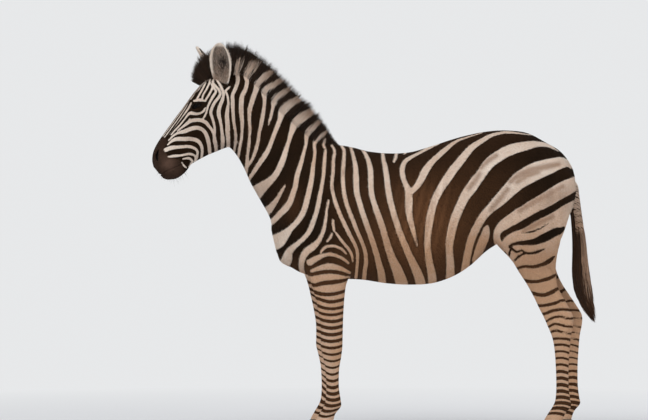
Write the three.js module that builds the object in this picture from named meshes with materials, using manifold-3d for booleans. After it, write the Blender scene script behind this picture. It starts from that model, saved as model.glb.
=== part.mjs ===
// A plains zebra standing at ease, life size, as a still museum model.
// It faces -X with its left side towards -Y and its hooves on the plane Z = 0. Millimetres.
// Every piece of flesh is a loft through named stations. The lofts are joined into one body,
// which thin cuts then part into head, muzzle, neck, trunk and legs.
import * as THREE from 'three';
import { mergeVertices } from 'three/addons/utils/BufferGeometryUtils.js';
import Module from 'manifold-3d';

const wasm = await Module();
wasm.setup();

// ---------------------------------------------------------------- driving dimensions
const WITHERS = 1300;            // height at the withers
const H = WITHERS / 100;         // all proportions below are in hundredths of that height
const GAP = 0.3;                 // clearance between neighbouring solids, mm
const CLEAR = (3 * GAP) / H;     // how much a loft grows to cut that clearance from another
const HEAD_PITCH = THREE.MathUtils.degToRad(40);   // the face slopes this far below level
const POLL = { x: -51.6, z: 112.5 };               // where the head's own axis begins
const NECK_TURN = { from: -20, to: -50, slope: 0.11 };   // the neck bends gently to the left
const GIRTH_CUT = 53.1;          // level where forearm leaves the trunk
const STIFLE_CUT = 64;           // level where the hind leg leaves the trunk
const KNEE_CUT = 34.6;
const HOCK_CUT = 42.6;
const CORONET = 5.7;             // top of the hoof wall

const COLOURS = {
  coat: 0xd8cbb8, dark: 0x241c17, muzzle: 0x3a2c26, ear: 0xcbbfae, eye: 0x140d09, hoof: 0x3c342d,
};

// ---------------------------------------------------------------- curves through stations
// Cubic through values given at rising keys, with slopes from the neighbours on each side.
function spline(keys, values, key) {
  let i = 0;
  while (i < keys.length - 2 && key > keys[i + 1]) i += 1;
  const slope = (k) => {
    const a = Math.max(0, k - 1);
    const b = Math.min(keys.length - 1, k + 1);
    return (values[b] - values[a]) / (keys[b] - keys[a]);
  };
  const span = keys[i + 1] - keys[i];
  const t = (key - keys[i]) / span;
  const t2 = t * t;
  const t3 = t2 * t;
  return (2 * t3 - 3 * t2 + 1) * values[i] + (t3 - 2 * t2 + t) * span * slope(i)
    + (3 * t2 - 2 * t3) * values[i + 1] + (t3 - t2) * span * slope(i + 1);
}

// Stations interpolated column by column, with some steps added between each pair.
function between(stations, steps) {
  const keys = stations.map((_, i) => i);
  const rows = [];
  for (let i = 0; i <= (stations.length - 1) * steps; i += 1) {
    rows.push(stations[0].map((_, c) => spline(keys, stations.map((s) => s[c]), i / steps)));
  }
  return rows;
}

// How far the bend of the neck carries a point sideways.
function sway(x) {
  const reach = NECK_TURN.from - NECK_TURN.to;
  const past = Math.max(0, NECK_TURN.from - x);
  const curved = Math.min(past, reach);
  return -NECK_TURN.slope * (curved * curved / (2 * reach) + Math.max(0, past - reach));
}

// A closed outline round a centre, of superellipse quarters: up and down may differ in
// reach and in squareness. Returns [up, side] pairs.
function outline(up, down, side, squareUp, squareDown, count) {
  const points = [];
  for (let i = 0; i < count; i += 1) {
    const angle = (i / count) * Math.PI * 2;
    const c = Math.cos(angle);
    const s = Math.sin(angle);
    const power = 2 / (c > 0 ? squareUp : squareDown);
    points.push([
      (c > 0 ? up : down) * Math.sign(c) * Math.abs(c) ** power,
      side * Math.sign(s) * Math.abs(s) ** power,
    ]);
  }
  return points;
}

// ---------------------------------------------------------------- rings to closed solids
// Rings of points in H units become one closed mesh, capped at both ends.
function loft(rings) {
  const count = rings[0].length;
  const positions = [];
  const index = [];
  for (const ring of rings) {
    for (const p of ring) positions.push(p.x * H, p.y * H, p.z * H);
  }
  for (let r = 0; r < rings.length - 1; r += 1) {
    for (let k = 0; k < count; k += 1) {
      const a = r * count + k;
      const b = r * count + ((k + 1) % count);
      index.push(a, b, a + count, b, b + count, a + count);
    }
  }
  for (const [r, flip] of [[0, true], [rings.length - 1, false]]) {
    const middle = rings[r].reduce((sum, p) => sum.add(p), new THREE.Vector3())
      .multiplyScalar(H / count);
    const hub = positions.length / 3;
    positions.push(middle.x, middle.y, middle.z);
    for (let k = 0; k < count; k += 1) {
      const a = r * count + k;
      const b = r * count + ((k + 1) % count);
      index.push(...(flip ? [hub, b, a] : [hub, a, b]));
    }
  }
  const geometry = new THREE.BufferGeometry();
  geometry.setAttribute('position', new THREE.Float32BufferAttribute(positions, 3));
  geometry.setIndex(index);
  return solid(geometry);
}

// A closed geometry as a solid that can be joined and cut, turned right side out.
function solid(geometry) {
  const bare = geometry.clone();
  bare.deleteAttribute('normal');
  bare.deleteAttribute('uv');
  const merged = mergeVertices(bare, 1e-4);
  const build = (triVerts) => new wasm.Manifold(new wasm.Mesh({
    numProp: 3, vertProperties: merged.attributes.position.array, triVerts,
  }));
  const made = build(new Uint32Array(merged.index.array));
  return made.volume() < 0 ? build(new Uint32Array(merged.index.array).reverse()) : made;
}

// The part of a solid on the side of a plane that its normal points to. Points in H units.
function trim(body, point, normal, shift = 0) {
  const n = new THREE.Vector3(...normal).normalize();
  const at = new THREE.Vector3(...point).multiplyScalar(H).dot(n) + shift;
  return body.trimByPlane(n.toArray(), at);
}

const above = (body, level) => trim(body, [0, 0, level], [0, 0, 1], GAP / 2);
const below = (body, level) => trim(body, [0, 0, level], [0, 0, -1], GAP / 2);
const join = (...bodies) => bodies.reduce((a, b) => a.add(b));

// ---------------------------------------------------------------- trunk
// Upright sections: [x, top, bottom, widest level, half width, squareness up, down]
const TRUNK = [
  [-33.9, 70.5, 64.5, 67.5, 2.0, 2.0, 2.0],
  [-32.6, 77.5, 60.8, 68.0, 7.0, 2.0, 2.0],
  [-29.5, 88.0, 58.8, 69.0, 11.0, 2.0, 2.1],
  [-25.0, 96.0, 56.4, 69.5, 13.4, 1.8, 2.2],
  [-19.0, 99.2, 55.0, 70.0, 15.0, 1.6, 2.2],
  [-12.0, 100.2, 54.5, 70.5, 16.8, 1.5, 2.2],
  [-4.0, 99.2, 54.1, 71.0, 18.8, 1.6, 2.2],
  [4.0, 98.3, 52.9, 71.5, 20.6, 1.8, 2.2],
  [12.0, 98.6, 52.4, 72.0, 21.8, 1.9, 2.15],
  [20.0, 100.8, 52.9, 73.0, 22.0, 2.0, 2.1],
  [27.0, 103.1, 55.2, 75.5, 21.4, 2.0, 2.1],
  [33.0, 104.7, 58.9, 78.5, 20.4, 2.0, 2.1],
  [39.5, 105.9, 64.6, 81.0, 19.4, 2.0, 2.1],
  [46.0, 106.2, 68.0, 83.0, 18.8, 2.0, 2.1],
  [53.0, 105.3, 69.5, 84.0, 17.6, 1.9, 2.1],
  [59.5, 102.0, 71.0, 85.0, 15.4, 1.9, 2.1],
  [64.5, 98.9, 73.5, 85.5, 12.4, 2.0, 2.1],
  [68.0, 94.4, 77.5, 86.0, 8.4, 2.0, 2.0],
  [69.6, 90.0, 82.5, 86.2, 4.2, 2.0, 2.0],
];

function trunk(grow = 0) {
  const rings = between(TRUNK, 1).map(([x, top, bottom, level, side, squareUp, squareDown]) => (
    outline(top - level + grow, level - bottom + grow, side + grow, squareUp, squareDown, 26)
      .map(([up, across]) => new THREE.Vector3(x, across + sway(x), level + up))
  ));
  return loft(rings);
}

// ---------------------------------------------------------------- neck
// Sections fan out from throat to breast: [front x, front z, crest x, crest z, half width]
const NECK = [
  [-53.5, 103.0, -52.5, 123.6, 5.2],
  [-48.6, 98.4, -45.6, 126.4, 5.8],
  [-45.4, 93.2, -38.6, 120.2, 6.4],
  [-43.0, 87.8, -32.9, 113.8, 7.2],
  [-39.9, 82.2, -27.4, 108.8, 8.4],
  [-36.5, 76.0, -21.2, 103.2, 10.4],
  [-34.6, 69.6, -14.6, 100.4, 13.0],
  [-31.0, 63.0, -8.0, 98.4, 14.6],
];
const CREST_SQUARE = 1.7;        // the crest is narrower than the throat
const THROAT_SQUARE = 2.15;
const NECK_WIDEST = 0.42;        // share of the depth, from the front, where it is widest

function neck(grow = 0) {
  const rings = between(NECK, 2).map(([frontX, frontZ, crestX, crestZ, side]) => {
    const front = new THREE.Vector3(frontX, 0, frontZ);
    const crest = new THREE.Vector3(crestX, 0, crestZ);
    const deep = front.distanceTo(crest);
    const widest = front.clone().lerp(crest, NECK_WIDEST);
    const up = crest.clone().sub(front).normalize();
    return outline(deep * (1 - NECK_WIDEST) + grow, deep * NECK_WIDEST + grow, side + grow,
      CREST_SQUARE, THROAT_SQUARE, 22).map(([rise, across]) => {
      const p = widest.clone().addScaledVector(up, rise);
      p.y = across + sway(p.x);
      return p;
    });
  });
  return loft(rings);
}

// ---------------------------------------------------------------- head
// Sections across the head's own axis, which runs from the poll to the lips:
// [along, brow or nose line, jaw line, widest level, half width, squareness up, down]
const HEAD = [
  [-8.0, 9.6, -3.0, 3.5, 4.6, 2.0, 2.0],
  [-5.0, 11.8, -7.5, 3.5, 6.4, 2.1, 2.0],
  [-1.0, 12.9, -10.4, 4.0, 7.6, 2.3, 2.0],
  [3.0, 12.5, -11.0, 5.0, 8.0, 2.5, 2.0],
  [6.5, 11.7, -10.2, 5.2, 8.0, 2.5, 2.0],
  [10.0, 10.8, -9.0, 4.0, 7.2, 2.3, 2.0],
  [14.0, 9.9, -7.8, 2.6, 6.0, 2.2, 2.0],
  [18.0, 8.9, -6.9, 1.8, 5.1, 2.2, 2.1],
  [21.5, 8.0, -6.4, 1.4, 4.7, 2.2, 2.2],
  [25.0, 7.0, -6.3, 1.0, 4.9, 2.3, 2.3],
  [28.0, 5.6, -6.5, 0.2, 4.8, 2.3, 2.3],
  [30.2, 3.6, -5.6, -0.8, 3.9, 2.2, 2.2],
  [31.5, 1.2, -3.8, -1.3, 2.3, 2.0, 2.0],
];
// Rounded forms joined to the skull on both sides: centre and radii along, up and across.
const BOSSES = {
  brow: { at: [4.4, 9.4, 6.0], radii: [3.4, 1.9, 2.1] },
  cheek: { at: [3.2, -4.4, 4.3], radii: [6.6, 6.0, 3.1] },
  crest: { at: [11.5, 1.6, 4.6], radii: [5.5, 1.5, 1.9] },
  nostril: { at: [27.2, 2.4, 3.2], radii: [2.7, 2.6, 2.1] },
  chin: { at: [25.0, -5.9, 0.9], radii: [3.4, 1.8, 2.0] },
};
const NOSTRIL = { at: [28.2, 2.5, 5.1], radii: [1.6, 0.8, 1.1] };
const MUZZLE_CUT = 22.6;         // the dark skin of the muzzle begins here
const NAPE_CUT = { x: -49.4, z: 112, tilt: 0.06 };
const EYE = { along: 6.2, up: 7.5, side: 6.75, radius: 1.55 };

// A point given along, up and across the head's axis.
function onHead(along, up, across) {
  const cos = Math.cos(HEAD_PITCH);
  const sin = Math.sin(HEAD_PITCH);
  const x = POLL.x - along * cos - up * sin;
  return new THREE.Vector3(x, across + sway(x), POLL.z - along * sin + up * cos);
}

function skull(grow = 0) {
  const rings = between(HEAD, 2).map(([along, top, bottom, level, side, squareUp, squareDown]) => (
    outline(top - level + grow, level - bottom + grow, side + grow, squareUp, squareDown, 20)
      .map(([up, across]) => onHead(along, level + up, across))
  ));
  const bosses = Object.values(BOSSES).flatMap((boss) => [boulder(boss, -1), boulder(boss, 1)]);
  const nostrils = join(boulder(NOSTRIL, -1), boulder(NOSTRIL, 1));
  return join(loft(rings), ...bosses).subtract(nostrils);
}

// An ellipsoid lying along the head's axis, on one side of it.
function boulder({ at, radii }, sign) {
  const ball = new THREE.SphereGeometry(H, 10, 6);
  ball.scale(...radii);
  const [along, up, across] = at;
  const middle = onHead(along, up, sign * across).multiplyScalar(H);
  const basis = new THREE.Matrix4().makeBasis(
    new THREE.Vector3(-Math.cos(HEAD_PITCH), 0, -Math.sin(HEAD_PITCH)),
    new THREE.Vector3(-Math.sin(HEAD_PITCH), 0, Math.cos(HEAD_PITCH)),
    new THREE.Vector3(0, 1, 0),
  ).setPosition(middle);
  ball.applyMatrix4(basis);
  return solid(ball);
}

function eyeball(sign, grow = 0) {
  const ball = new THREE.SphereGeometry(EYE.radius * H + grow, 12, 8);
  const at = onHead(EYE.along, EYE.up, sign * EYE.side).multiplyScalar(H);
  ball.translate(at.x, at.y, at.z);
  return solid(ball);
}

// ---------------------------------------------------------------- legs
// Level sections: [z, front x, back x, distance from the midline, half thickness]
const FORELEG = [
  [94.0, -18.2, -10.6, 5.0, 2.8],
  [86.0, -23.4, -9.0, 7.8, 4.5],
  [77.0, -28.0, -7.6, 9.9, 5.9],
  [69.5, -29.3, -6.8, 10.4, 6.0],
  [62.5, -26.8, -7.4, 10.3, 5.6],
  [57.5, -23.9, -8.6, 9.9, 4.8],
  [53.0, -22.0, -9.7, 9.6, 4.2],
  [48.3, -20.7, -10.3, 9.3, 3.7],
  [44.0, -19.7, -10.6, 9.1, 3.2],
  [39.0, -18.9, -10.8, 8.9, 2.8],
  [34.6, -18.8, -10.9, 8.8, 2.9],
  [31.2, -18.8, -11.0, 8.8, 3.0],
  [27.8, -18.0, -11.4, 8.8, 2.6],
  [23.6, -17.2, -12.1, 8.7, 2.05],
  [17.7, -16.9, -12.2, 8.7, 1.95],
  [13.2, -17.1, -11.6, 8.7, 2.25],
  [10.8, -17.8, -11.5, 8.7, 2.5],
  [8.2, -19.3, -13.4, 8.7, 2.15],
  [5.6, -20.7, -14.2, 8.7, 2.5],
  [4.4, -20.8, -14.6, 8.7, 2.3],
];
const HINDLEG = [
  [99.0, 49.5, 61.5, 5.6, 3.0],
  [92.5, 44.5, 67.2, 8.6, 6.0],
  [85.5, 41.0, 69.4, 10.2, 7.6],
  [78.5, 39.8, 67.6, 10.6, 8.2],
  [72.0, 39.8, 65.6, 10.5, 7.6],
  [67.0, 42.4, 63.9, 10.2, 6.6],
  [62.2, 46.4, 62.8, 10.0, 5.5],
  [57.3, 49.4, 62.5, 9.8, 4.6],
  [52.8, 52.3, 63.4, 9.6, 3.9],
  [48.6, 54.6, 65.2, 9.4, 3.25],
  [44.8, 56.4, 67.1, 9.3, 2.75],
  [41.7, 58.0, 68.5, 9.2, 2.65],
  [38.5, 59.4, 68.5, 9.2, 2.9],
  [35.1, 60.8, 67.8, 9.1, 2.75],
  [31.0, 61.7, 67.4, 9.0, 2.3],
  [24.7, 62.2, 67.0, 8.9, 2.0],
  [17.7, 62.4, 67.0, 8.8, 1.95],
  [13.2, 62.1, 67.5, 8.8, 2.25],
  [10.8, 61.2, 67.8, 8.8, 2.5],
  [8.2, 59.5, 65.8, 8.8, 2.15],
  [5.6, 58.0, 64.8, 8.8, 2.5],
  [4.4, 57.9, 64.4, 8.8, 2.3],
];
// Where each kind of leg is parted, and the levels between which its step builds up.
const FORE = { stations: FORELEG, knee: KNEE_CUT, top: GIRTH_CUT, swing: [86, 44] };
const HIND = { stations: HINDLEG, knee: HOCK_CUT, top: STIFLE_CUT, swing: [68, 40] };
// Each leg's side, and how far its foot stands ahead of or behind the stations above.
const LEGS = {
  foreleg_left: { ...FORE, sign: -1, step: 0 },
  foreleg_right: { ...FORE, sign: 1, step: -1.6 },
  hindleg_left: { ...HIND, sign: -1, step: 0 },
  hindleg_right: { ...HIND, sign: 1, step: 4.4 },
};

function stepAt(leg, level) {
  const [from, to] = leg.swing;
  return leg.step * THREE.MathUtils.smoothstep(from - level, 0, from - to);
}

function legFlesh(leg) {
  const rings = between(leg.stations, 1).map(([level, front, back, off, half]) => {
    const long = (back - front) / 2;
    const middle = (back + front) / 2 + stepAt(leg, level);
    return outline(long, long, half, 2.1, 2.1, 14)
      .map(([rise, across]) => new THREE.Vector3(middle - rise, leg.sign * off + across, level));
  });
  return loft(rings);
}

// The hoof widens from the coronet to a flat sole; the toe reaches forward.
// [z, toe, heel, half width], measured from the back of the coronet
const HOOF = [
  [5.5, -6.7, 0.2, 2.75],
  [3.6, -7.6, 0.3, 3.05],
  [0.0, -9.2, -0.2, 3.45],
];

function hoof(leg) {
  const fetlock = leg.stations.find((s) => s[0] === 5.6);
  const heel = fetlock[2] + stepAt(leg, 0);
  const rings = HOOF.map(([level, toe, back, half]) => {
    const long = (back - toe) / 2;
    const middle = heel + (toe + back) / 2;
    return outline(long, long, half, 2.3, 2.3, 16)
      .map(([rise, across]) => new THREE.Vector3(middle - rise, leg.sign * fetlock[3] + across, level));
  });
  return loft(rings);
}

// ---------------------------------------------------------------- mane and forelock
// The stiff hair stands on the crest: [root x, root z, tip x, tip z, half thickness at root]
const MANE = [
  [-59.4, 121.6, -63.9, 123.0, 1.5],
  [-58.2, 123.0, -63.6, 128.0, 1.9],
  [-56.2, 124.4, -60.3, 133.6, 2.1],
  [-53.0, 125.2, -54.2, 136.9, 2.0],
  [-49.6, 126.2, -47.8, 137.6, 1.9],
  [-45.8, 126.0, -41.8, 135.2, 1.9],
  [-41.4, 122.6, -36.2, 130.8, 1.9],
  [-36.9, 118.2, -30.7, 125.7, 1.9],
  [-32.2, 113.0, -25.4, 120.0, 1.9],
  [-27.2, 108.4, -20.4, 114.9, 1.9],
  [-21.9, 103.6, -16.8, 109.8, 1.8],
  [-17.6, 100.8, -14.2, 104.6, 1.4],
  [-13.6, 99.4, -12.2, 101.4, 0.8],
];
const MANE_SINK = 2.2;           // the roots reach this far into the neck
const MANE_TIP = 0.45;           // share of the thickness left at the tips

function maneHair() {
  const rings = between(MANE, 1).map(([rootX, rootZ, tipX, tipZ, half]) => {
    const root = new THREE.Vector3(rootX, 0, rootZ);
    const up = new THREE.Vector3(tipX, 0, tipZ).sub(root);
    const tall = up.length();
    up.normalize();
    const side = [[-MANE_SINK, 1], [0, 1], [tall * 0.6, 0.85], [tall * 0.94, MANE_TIP]];
    const section = [
      ...side,
      [tall, 0],
      ...side.map(([rise, wide]) => [rise, -wide]).reverse(),
    ];
    return section.map(([rise, wide]) => {
      const p = root.clone().addScaledVector(up, rise);
      p.y = wide * half + sway(p.x);
      return p;
    });
  });
  return loft(rings);
}

// ---------------------------------------------------------------- ears
// Each ear is a leaf-shaped cup. Its root, tip and the way it opens are given per side.
const EARS = {
  ear_left: {
    root: onHead(-4.6, 7.8, -3.9), tip: new THREE.Vector3(-53.9, -10.3, 136.8),
    opens: new THREE.Vector3(-0.35, -1, 0.05),
  },
  ear_right: {
    root: onHead(-4.0, 8.6, 3.9), tip: new THREE.Vector3(-61.7, 4.6, 135.6),
    opens: new THREE.Vector3(-0.9, 0.35, 0.1),
  },
};
// [share of the length, half width, depth of the cup, how far the cup has opened]
const EAR = [
  [-0.16, 1.7, 1.5, 0],
  [0.0, 2.2, 1.9, 0],
  [0.14, 2.9, 2.3, 0.15],
  [0.3, 3.6, 2.4, 0.8],
  [0.48, 4.0, 2.2, 1],
  [0.66, 3.8, 1.8, 1],
  [0.82, 3.0, 1.3, 1],
  [0.94, 1.7, 0.8, 1],
  [1.0, 0.5, 0.35, 1],
];
const EAR_WALL = 0.5;
const EAR_STEPS = 8;             // divisions across the ear

function earCup({ root, tip, opens }) {
  const axis = tip.clone().sub(root);
  const long = axis.length();
  axis.normalize();
  const across = new THREE.Vector3().crossVectors(axis, opens).normalize();
  const front = new THREE.Vector3().crossVectors(across, axis).normalize();
  const rings = between(EAR, 1).map(([share, half, deep, open]) => {
    const section = [];
    const put = (u, forward) => section.push(root.clone()
      .addScaledVector(axis, share * long).addScaledVector(across, u * half)
      .addScaledVector(front, forward));
    const backOf = (u) => -deep * (1 - u * u);
    const wall = Math.min(EAR_WALL, half * 0.5);
    for (let i = 0; i <= EAR_STEPS; i += 1) {
      const u = (2 * i) / EAR_STEPS - 1;
      put(u, backOf(u));
    }
    for (let i = EAR_STEPS; i >= 0; i -= 1) {
      const u = ((2 * i) / EAR_STEPS - 1) * 0.93;
      const filled = deep * 0.55 * (1 - u * u) + wall;
      put(u, THREE.MathUtils.lerp(filled, backOf(u) + wall, open));
    }
    return section;
  });
  return loft(rings);
}

// ---------------------------------------------------------------- tail
// A round dock with short hair, then the long hair of the switch: [x, z, half depth, half width]
const DOCK = [
  [65.6, 89.4, 2.4, 2.6],
  [68.4, 87.2, 2.2, 2.4],
  [69.4, 82.8, 2.0, 2.2],
  [70.1, 77.8, 2.0, 2.1],
  [70.8, 72.0, 2.1, 2.1],
  [71.2, 66.0, 2.3, 2.1],
  [71.4, 61.0, 2.3, 2.1],
];
const SWITCH = [
  [71.4, 61.0, 2.35, 2.15],
  [71.6, 56.0, 2.5, 2.4],
  [72.6, 51.0, 2.6, 2.5],
  [74.2, 46.6, 2.4, 2.2],
  [75.6, 42.6, 1.6, 1.5],
  [76.8, 39.4, 0.5, 0.5],
];

function tailTube(stations) {
  const middles = stations.map(([x, z]) => new THREE.Vector3(x, 0, z));
  const rings = stations.map(([, , deep, side], i) => {
    const before = middles[Math.max(0, i - 1)];
    const after = middles[Math.min(middles.length - 1, i + 1)];
    const along = after.clone().sub(before).normalize();
    const up = new THREE.Vector3(along.z, 0, -along.x);
    return outline(deep, deep, side, 2, 2, 12).map(([rise, across]) => {
      const p = middles[i].clone().addScaledVector(up, rise);
      p.y += across;
      return p;
    });
  });
  return loft(rings);
}

// ---------------------------------------------------------------- the animal, joined and parted
const legs = Object.fromEntries(Object.entries(LEGS).map(([name, leg]) => [name, legFlesh(leg)]));
const upperLegs = Object.entries(LEGS).map(([name, leg]) => above(legs[name], leg.top));
const headFlesh = skull();
const neckFlesh = neck();
const flesh = join(trunk(), neckFlesh, headFlesh, ...upperLegs);

// A slightly larger copy of a solid, made by shifting it all ways, to cut a clearance.
function swollen(body) {
  const ways = [[1, 0, 0], [-1, 0, 0], [0, 1, 0], [0, -1, 0], [0, 0, 1], [0, 0, -1]];
  return join(...ways.map((way) => body.translate(way.map((v) => v * GAP))));
}

// The largest single piece of a solid, dropping slivers that a cut may leave.
function largest(body) {
  return body.decompose().sort((a, b) => b.volume() - a.volume())[0];
}

const SHOULDER_LINE = { point: [-13.4, 0, 100.2], normal: [-0.69, 0, 0.72] };
const napeNormal = [-Math.cos(NAPE_CUT.tilt), 0, Math.sin(NAPE_CUT.tilt)];
const napePoint = [NAPE_CUT.x, 0, NAPE_CUT.z];
const muzzlePoint = onHead(MUZZLE_CUT, 0, 0).toArray();
const muzzleNormal = [-Math.cos(HEAD_PITCH), 0, -Math.sin(HEAD_PITCH)];
const flip = (v) => v.map((x) => -x);

const forequarter = trim(flesh, SHOULDER_LINE.point, SHOULDER_LINE.normal, GAP / 2);
const wholeHead = trim(forequarter, napePoint, napeNormal, GAP / 2);
const sockets = join(eyeball(-1, GAP), eyeball(1, GAP));
const clearance = join(trunk(CLEAR), neck(CLEAR), skull(CLEAR));
const ears = Object.fromEntries(Object.entries(EARS).map(([name, ear]) => (
  [name, largest(earCup(ear).subtract(clearance))])));
const rump = trim(flesh, SHOULDER_LINE.point, flip(SHOULDER_LINE.normal), GAP / 2);

const pieces = {
  head: [trim(wholeHead, muzzlePoint, flip(muzzleNormal), GAP / 2).subtract(sockets), 'coat'],
  muzzle: [trim(wholeHead, muzzlePoint, muzzleNormal, GAP / 2), 'muzzle'],
  eye_left: [eyeball(-1), 'eye'],
  eye_right: [eyeball(1), 'eye'],
  ear_left: [ears.ear_left, 'ear'],
  ear_right: [ears.ear_right, 'ear'],
  neck: [trim(forequarter, napePoint, flip(napeNormal), GAP / 2), 'coat'],
  mane: [largest(maneHair().subtract(join(clearance, swollen(ears.ear_left),
    swollen(ears.ear_right)))), 'dark'],
  trunk: [rump, 'coat'],
  tail_dock: [largest(tailTube(DOCK).subtract(clearance)), 'coat'],
  tail_switch: [below(tailTube(SWITCH), SWITCH[0][1]), 'dark'],
};
for (const [name, leg] of Object.entries(LEGS)) {
  const shin = name.startsWith('fore') ? 'forearm' : 'gaskin';
  pieces[`${name}_${shin}`] = [above(below(legs[name], leg.top), leg.knee), 'coat'];
  pieces[`${name}_cannon`] = [above(below(legs[name], leg.knee), CORONET), 'coat'];
  pieces[`${name}_hoof`] = [hoof(leg), 'hoof'];
}

// ---------------------------------------------------------------- the scene
const zebra = new THREE.Group();
for (const [name, [body, colour]] of Object.entries(pieces)) {
  const made = body.getMesh();
  const geometry = new THREE.BufferGeometry();
  geometry.setAttribute('position', new THREE.BufferAttribute(made.vertProperties, 3));
  geometry.setIndex(new THREE.BufferAttribute(made.triVerts, 1));
  geometry.computeVertexNormals();
  const material = new THREE.MeshStandardMaterial({
    color: COLOURS[colour], roughness: colour === 'eye' ? 0.15 : 0.8, metalness: 0,
  });
  const mesh = new THREE.Mesh(geometry, material);
  mesh.name = name;
  zebra.add(mesh);
}

// The origin lies on the floor at the middle of the whole animal.
const extent = new THREE.Box3().setFromObject(zebra);
const middle = extent.getCenter(new THREE.Vector3());
zebra.position.set(-middle.x, -middle.y, -extent.min.z);

export default zebra;
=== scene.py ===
"""A plains zebra, life size, as a still museum model: one striped hide over the body, with its
eyes, hooves, upright mane, tail hair and short coat as pieces of their own."""
import math
from contextlib import contextmanager

import bmesh
import bpy
import numpy as np
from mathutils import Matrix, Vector


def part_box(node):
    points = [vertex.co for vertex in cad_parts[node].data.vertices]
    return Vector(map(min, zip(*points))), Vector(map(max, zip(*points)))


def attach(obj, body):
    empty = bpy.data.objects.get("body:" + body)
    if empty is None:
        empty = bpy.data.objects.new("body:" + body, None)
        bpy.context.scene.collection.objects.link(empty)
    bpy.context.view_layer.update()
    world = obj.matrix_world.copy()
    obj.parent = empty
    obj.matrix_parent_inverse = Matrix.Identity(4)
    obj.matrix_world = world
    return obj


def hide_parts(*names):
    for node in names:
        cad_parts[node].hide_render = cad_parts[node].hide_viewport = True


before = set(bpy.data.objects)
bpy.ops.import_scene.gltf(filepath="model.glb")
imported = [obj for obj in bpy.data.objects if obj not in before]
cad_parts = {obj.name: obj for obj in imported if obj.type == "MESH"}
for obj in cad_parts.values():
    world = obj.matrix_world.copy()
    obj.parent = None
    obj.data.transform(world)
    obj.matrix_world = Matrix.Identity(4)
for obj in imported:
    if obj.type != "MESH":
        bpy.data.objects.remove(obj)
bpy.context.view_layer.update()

# ---------------------------------------------------------------- flesh
# The body under the hide: trunk, neck, skull, legs and dock, each a form drawn through named
# stations. They flow into each other as muscle does, and a distance to their common surface
# is all that the hide needs. Sizes here are hundredths of the height at the withers.
H = 0.013                        # metres in one such hundredth
COAT_DEPTH = 0.22                # how far the hide lies under the tips of the coat
HEAD_PITCH = math.radians(40)
POLL_X, POLL_Z = -51.6, 112.5
EYE_ALONG, EYE_UP, EYE_SIDE, EYE_RADIUS = 6.2, 7.5, 6.75, 1.55


# Where the head's own axis carries a point: along towards the lips, and up towards the brow.
def on_head(along, up):
    cos, sin = math.cos(HEAD_PITCH), math.sin(HEAD_PITCH)
    return POLL_X - along * cos - up * sin, POLL_Z - along * sin + up * cos


def head_axes(x, z):
    cos, sin = math.cos(HEAD_PITCH), math.sin(HEAD_PITCH)
    dx, dz = x - POLL_X, z - POLL_Z
    return -dx * cos - dz * sin, -dx * sin + dz * cos


# The frame is centred on its box, so the left eye's box tells where the drawing's zero lies.
eye_low, eye_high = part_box("eye_left")
ZERO_X = (eye_low[0] + eye_high[0]) / 2 - on_head(EYE_ALONG, EYE_UP)[0] * H


def to_metres(points):
    placed = np.array(points, dtype=float) * H
    placed[..., 0] += ZERO_X
    return placed


def to_hundredths(points):
    placed = np.array(points, dtype=float)
    placed[..., 0] -= ZERO_X
    return placed / H


# The neck bends gently to the left: how far it carries a point sideways.
def sway(x):
    past = np.maximum(0, -20 - x)
    curved = np.minimum(past, 30)
    return -0.11 * (curved * curved / 60 + np.maximum(0, past - 30))


# A smooth line through rows of stations, sampled evenly between each pair.
def drawn_through(stations, steps):
    rows = np.array(stations, dtype=float)
    last = len(rows) - 1
    t = np.linspace(0, last, last * steps + 1)
    i = np.minimum(t.astype(int), last - 1)
    f = (t - i)[:, None]
    slope = np.empty_like(rows)
    slope[1:-1] = (rows[2:] - rows[:-2]) / 2
    slope[0], slope[-1] = rows[1] - rows[0], rows[-1] - rows[-2]
    f2, f3 = f * f, f * f * f
    return ((2 * f3 - 3 * f2 + 1) * rows[i] + (f3 - 2 * f2 + f) * slope[i]
            + (3 * f2 - 2 * f3) * rows[i + 1] + (f3 - f2) * slope[i + 1])


# Distance out of an oval section, whose reach and squareness may differ up and down.
def from_oval(rise, across, up, down, side, square_up, square_down):
    reach = np.where(rise > 0, up, down)
    power = np.where(rise > 0, square_up, square_down)
    a = np.abs(rise) / np.maximum(reach, 1e-3)
    b = np.abs(across) / np.maximum(side, 1e-3)
    ratio = np.maximum((a ** power + b ** power) ** (1 / power), 1e-4)
    return (1 - 1 / ratio) * np.maximum(np.hypot(rise, across), 0.2 * np.minimum(reach, side))


def within(key, table):
    return [np.interp(key, table[:, 0], column) for column in table.T[1:]]


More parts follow.
